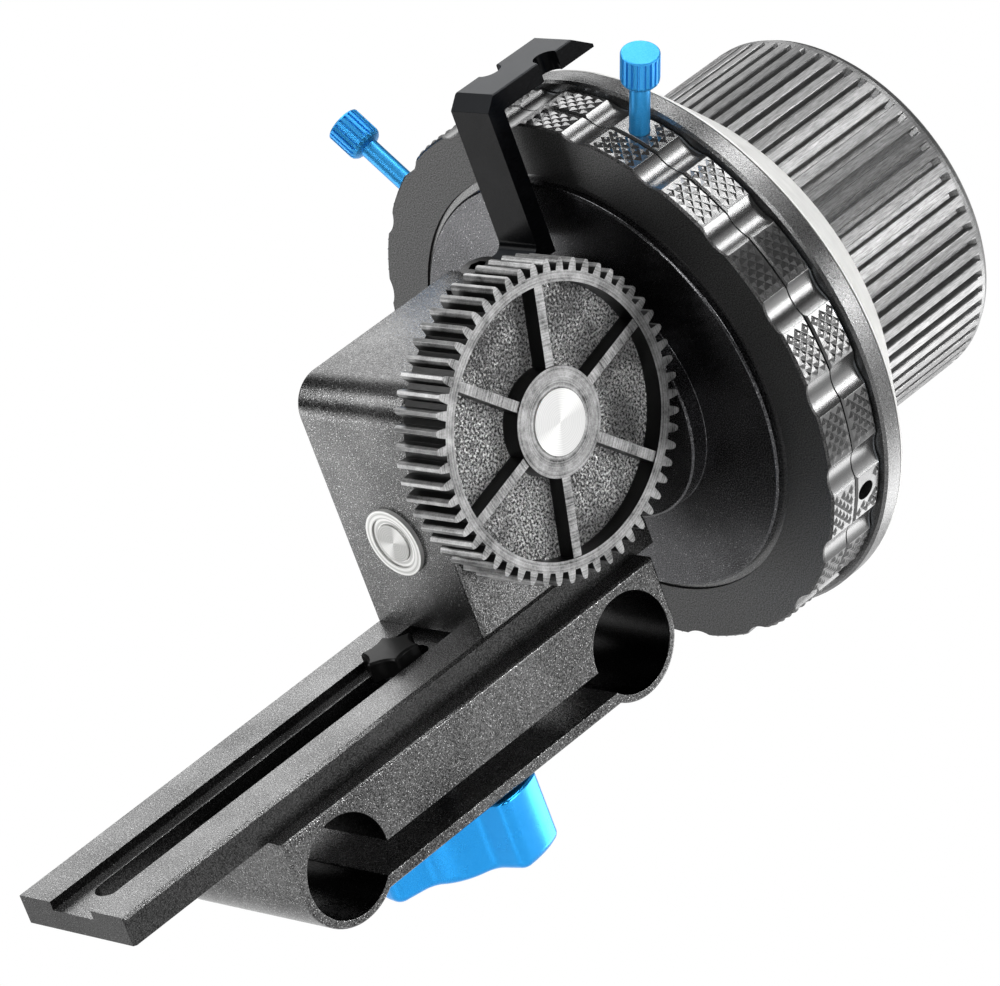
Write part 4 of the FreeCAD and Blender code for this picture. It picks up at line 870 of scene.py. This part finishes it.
@dataclass(frozen=True)
class CapScrewKnurl:
    """Fine straight knurling round the arm screw's head."""

    node: str = "arm_screw"
    ribs: int = 30
    depth_mm: float = 0.16

    def build(self, finishes: Finishes) -> None:
        """Adds the knurled sleeve around the CAD head."""
        low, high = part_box(self.node)
        top = high.z / MM
        bottom = top - ARM_SCREW_HEAD_HEIGHT
        radius = (high.x - low.x) / 2 / MM
        stations = (
            (bottom + 0.05, radius - 0.5, 0.0),
            (bottom + 0.05, radius + 0.05, self.depth_mm),
            (top - 0.45, radius + 0.05, self.depth_mm),
            (top - 0.3, radius - 0.1, 0.0),
            (top - 0.3, radius - 0.6, 0.0),
        )
        turning = RibbedTurning(self.ribs, stations)
        centre = Vector(((low.x + high.x) / 2, (low.y + high.y) / 2, 0.0))
        bm = turning.shape(frame_along(Axis.Z.vector, centre, Axis.X.vector))
        new_piece(self.node + ".knurl", bm, finishes["black_screw"], "carriage")


SOFT_NODES = (
    ("rod_clamp", "clamp", "clamp", 0.18),
    ("slide_plate", "carriage", "plate", 0.12),
    ("gearbox_housing", "carriage", "housing", 0.25),
    ("stop_arm", "carriage", "arm", 0.22),
    ("stop_ring_a", "stop_ring_a", "ring", 0.1),
    ("stop_ring_b", "stop_ring_b", "ring", 0.1),
    ("drive_gear", "drive_gear", "moulded_gear", 0.1),
    ("slot_nut", "clamp", "black_nut", 0.12),
    ("front_disc", "handwheel", "disc", 0.12),
)


def dress_nodes(finishes: Finishes) -> None:
    """Gives every CAD node its finish."""
    for name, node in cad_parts.items():
        node.data.materials.clear()
        node.data.materials.append(finishes[NODE_FINISH[name]])
    LOG.info("dressed %d nodes", len(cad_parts))


@dataclass(frozen=True)
class Lamp:
    """One soft rectangular lamp aimed at a point."""

    name: str
    position: tuple[float, float, float]
    size: tuple[float, float]
    power: float
    target: tuple[float, float, float] = (0.0, 0.06, 0.03)

    def build(self) -> None:
        """Makes the lamp and turns it to its target."""
        data = bpy.data.lights.new(self.name, "AREA")
        data.shape = "RECTANGLE"
        data.size, data.size_y = self.size
        data.energy = self.power
        lamp = bpy.data.objects.new(self.name, data)
        lamp.location = self.position
        aim = Vector(self.target) - Vector(self.position)
        lamp.rotation_mode = "QUATERNION"
        lamp.rotation_quaternion = aim.to_track_quat("-Z", "Y")
        bpy.context.scene.collection.objects.link(lamp)


LAMPS = (
    Lamp("BackPanel", (-0.80, 0.62, 0.46), (0.60, 0.40), 1.95),
    Lamp("TopBackSoftbox", (0.32, 0.61, 0.74), (0.22, 0.22), 2.4, (0.02, 0.12, 0.05)),
    Lamp("TopCentreStrip", (-0.15, 0.60, 0.80), (0.15, 0.15), 1.0, (0.02, 0.10, 0.06)),
    Lamp("RightHighSoftbox", (0.52, 0.60, 0.62), (0.30, 0.30), 0.4),
    Lamp("TopPanel", (-0.10, 0.10, 0.80), (0.40, 0.40), 3.9),
    Lamp("LeftHighSoftbox", (-0.62, -0.36, 0.55), (0.25, 0.35), 1.7),
    Lamp("RightLowStrip", (0.80, 0.62, 0.02), (0.14, 0.26), 2.8),
    Lamp("UnderGripStrip", (0.055, 0.205, -0.10), (0.08, 0.10), 0.11, (0.025, 0.122, 0.015)),
    Lamp("RightFloorPanel", (0.36, 0.31, -0.13), (0.20, 0.20), 0.14, (0.02, 0.05, 0.03)),
    Lamp("FrontKey", (0.30, -0.75, 0.45), (0.25, 0.25), 2.9),
    Lamp("FrontLowPanel", (0.10, -0.40, -0.12), (0.20, 0.20), 0.3, (0.0, 0.0, 0.0)),
    Lamp("LeftLowPanel", (-0.50, -0.25, -0.14), (0.30, 0.30), 1.1),
    Lamp("SideKey", (0.95, -0.10, 0.40), (0.25, 0.25), 3.2),
)


# What the world gives to diffuse light, to reflections and to the camera
FILL_STRENGTH = 0.07
MIRRORED_STRENGTH = 0.06
WHITE_STRENGTH = 1.0


def light_world() -> None:
    """Pale world that the camera and reflections see as white."""
    world = bpy.data.worlds.new("Studio")
    bpy.context.scene.world = world
    world.use_nodes = True
    tree = world.node_tree
    tree.nodes.clear()
    path = tree.nodes.new("ShaderNodeLightPath")
    seen = tree.nodes.new("ShaderNodeMath")
    seen.operation = "MAXIMUM"
    tree.links.new(path.outputs["Is Glossy Ray"], seen.inputs[0])
    tree.links.new(path.outputs["Is Transmission Ray"], seen.inputs[1])

    def background(strength: float):
        """White background of one strength."""
        node = tree.nodes.new("ShaderNodeBackground")
        node.inputs["Color"].default_value = WHITE
        node.inputs["Strength"].default_value = strength
        return node.outputs[0]

    def mixed(share, first, second):
        """The first background where the share is zero and the second where it is one."""
        node = tree.nodes.new("ShaderNodeMixShader")
        for socket, value in zip(node.inputs, (share, first, second)):
            tree.links.new(value, socket)
        return node.outputs[0]

    unseen = mixed(seen.outputs[0], background(FILL_STRENGTH), background(MIRRORED_STRENGTH))
    surface = mixed(path.outputs["Is Camera Ray"], unseen, background(WHITE_STRENGTH))
    tree.links.new(surface, tree.nodes.new("ShaderNodeOutputWorld").inputs["Surface"])


# How much of the floor the camera sees as glowing, and how much every other ray does
FLOOR_GLOW_SEEN = 1.0
FLOOR_GLOW_UNSEEN = 0.1


def lay_floor(height: float = -0.16, side: float = 3.0) -> None:
    """Pale floor well below the unit, which is held up by its rods."""
    shader = Shader("PaleFloor")
    path = shader.add("LightPath")
    diffuse = shader.add("BsdfDiffuse", Color=(0.9, 0.9, 0.9, 1.0))
    glow = shader.add("Emission", Color=WHITE, Strength=1.0)
    mix = shader.add("MixShader")
    gain = shader.scaled(path.outputs["Is Camera Ray"], FLOOR_GLOW_SEEN - FLOOR_GLOW_UNSEEN)
    share = shader.math("ADD", gain, FLOOR_GLOW_UNSEEN)
    shader.tree.links.new(share, mix.inputs[0])
    shader.tree.links.new(diffuse.outputs[0], mix.inputs[1])
    shader.tree.links.new(glow.outputs[0], mix.inputs[2])
    output = shader.add("OutputMaterial")
    shader.tree.links.new(mix.outputs[0], output.inputs["Surface"])
    bm = bmesh.new()
    bmesh.ops.create_grid(bm, x_segments=1, y_segments=1, size=side)
    bmesh.ops.translate(bm, verts=bm.verts, vec=(0.0, 0.0, height))
    floor = new_object("Floor", bm, shader.material)


@dataclass(frozen=True)
class Viewpoint:
    """Camera fitted to the photographed view."""

    position: Vector = Vector((0.6418, -0.4193, 0.3735))
    right: Vector = Vector((0.67158, 0.66706, -0.32252))
    down: Vector = Vector((0.09018, -0.50564, -0.85802))
    ahead: Vector = Vector((-0.73543, 0.54714, -0.39973))
    lens_mm: float = 217.55
    sensor_mm: float = 36.0
    width: int = 1000
    height: int = 986

    def build(self) -> None:
        """Makes the camera and sets the picture's size and colours."""
        data = bpy.data.cameras.new("Viewpoint")
        data.lens = self.lens_mm
        data.sensor_width = self.sensor_mm
        data.sensor_fit = "HORIZONTAL"
        data.clip_start, data.clip_end = 0.01, 20.0
        camera = bpy.data.objects.new("Viewpoint", data)
        turn = Matrix((self.right, -self.down, -self.ahead)).transposed().to_4x4()
        camera.matrix_world = Matrix.Translation(self.position) @ turn
        bpy.context.scene.collection.objects.link(camera)
        scene = bpy.context.scene
        scene.camera = camera
        scene.render.resolution_x = self.width
        scene.render.resolution_y = self.height
        scene.view_settings.view_transform = "Standard"


def main() -> None:
    """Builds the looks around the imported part."""
    logging.basicConfig(level=logging.INFO, format="%(name)s %(message)s")
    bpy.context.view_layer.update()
    finishes = Finishes.build()
    dress_nodes(finishes)
    for node, body, slot, width in SOFT_NODES:
        SoftEdges(node, width).build(finishes, body, slot)
    holes_a = (SCREW_A_ANGLE, SCREW_A_ANGLE + SPARE_HOLE_STEP)
    holes_b = (SCREW_B_ANGLE, SCREW_B_ANGLE - SPARE_HOLE_STEP)
    KnurledFields("stop_ring_a", holes_a, SCREW_A_Y).build(finishes)
    KnurledFields("stop_ring_b", holes_b, SCREW_B_Y).build(finishes)
    ThumbScrew("stop_screw_a", SCREW_A_ANGLE).build(finishes)
    ThumbScrew("stop_screw_b", SCREW_B_ANGLE).build(finishes)
    RibbedGrip().build(finishes)
    CapScrewKnurl().build(finishes)
    light_world()
    lay_floor()
    for lamp in LAMPS:
        lamp.build()
    Viewpoint().build()


if __name__ == "__main__":
    main()
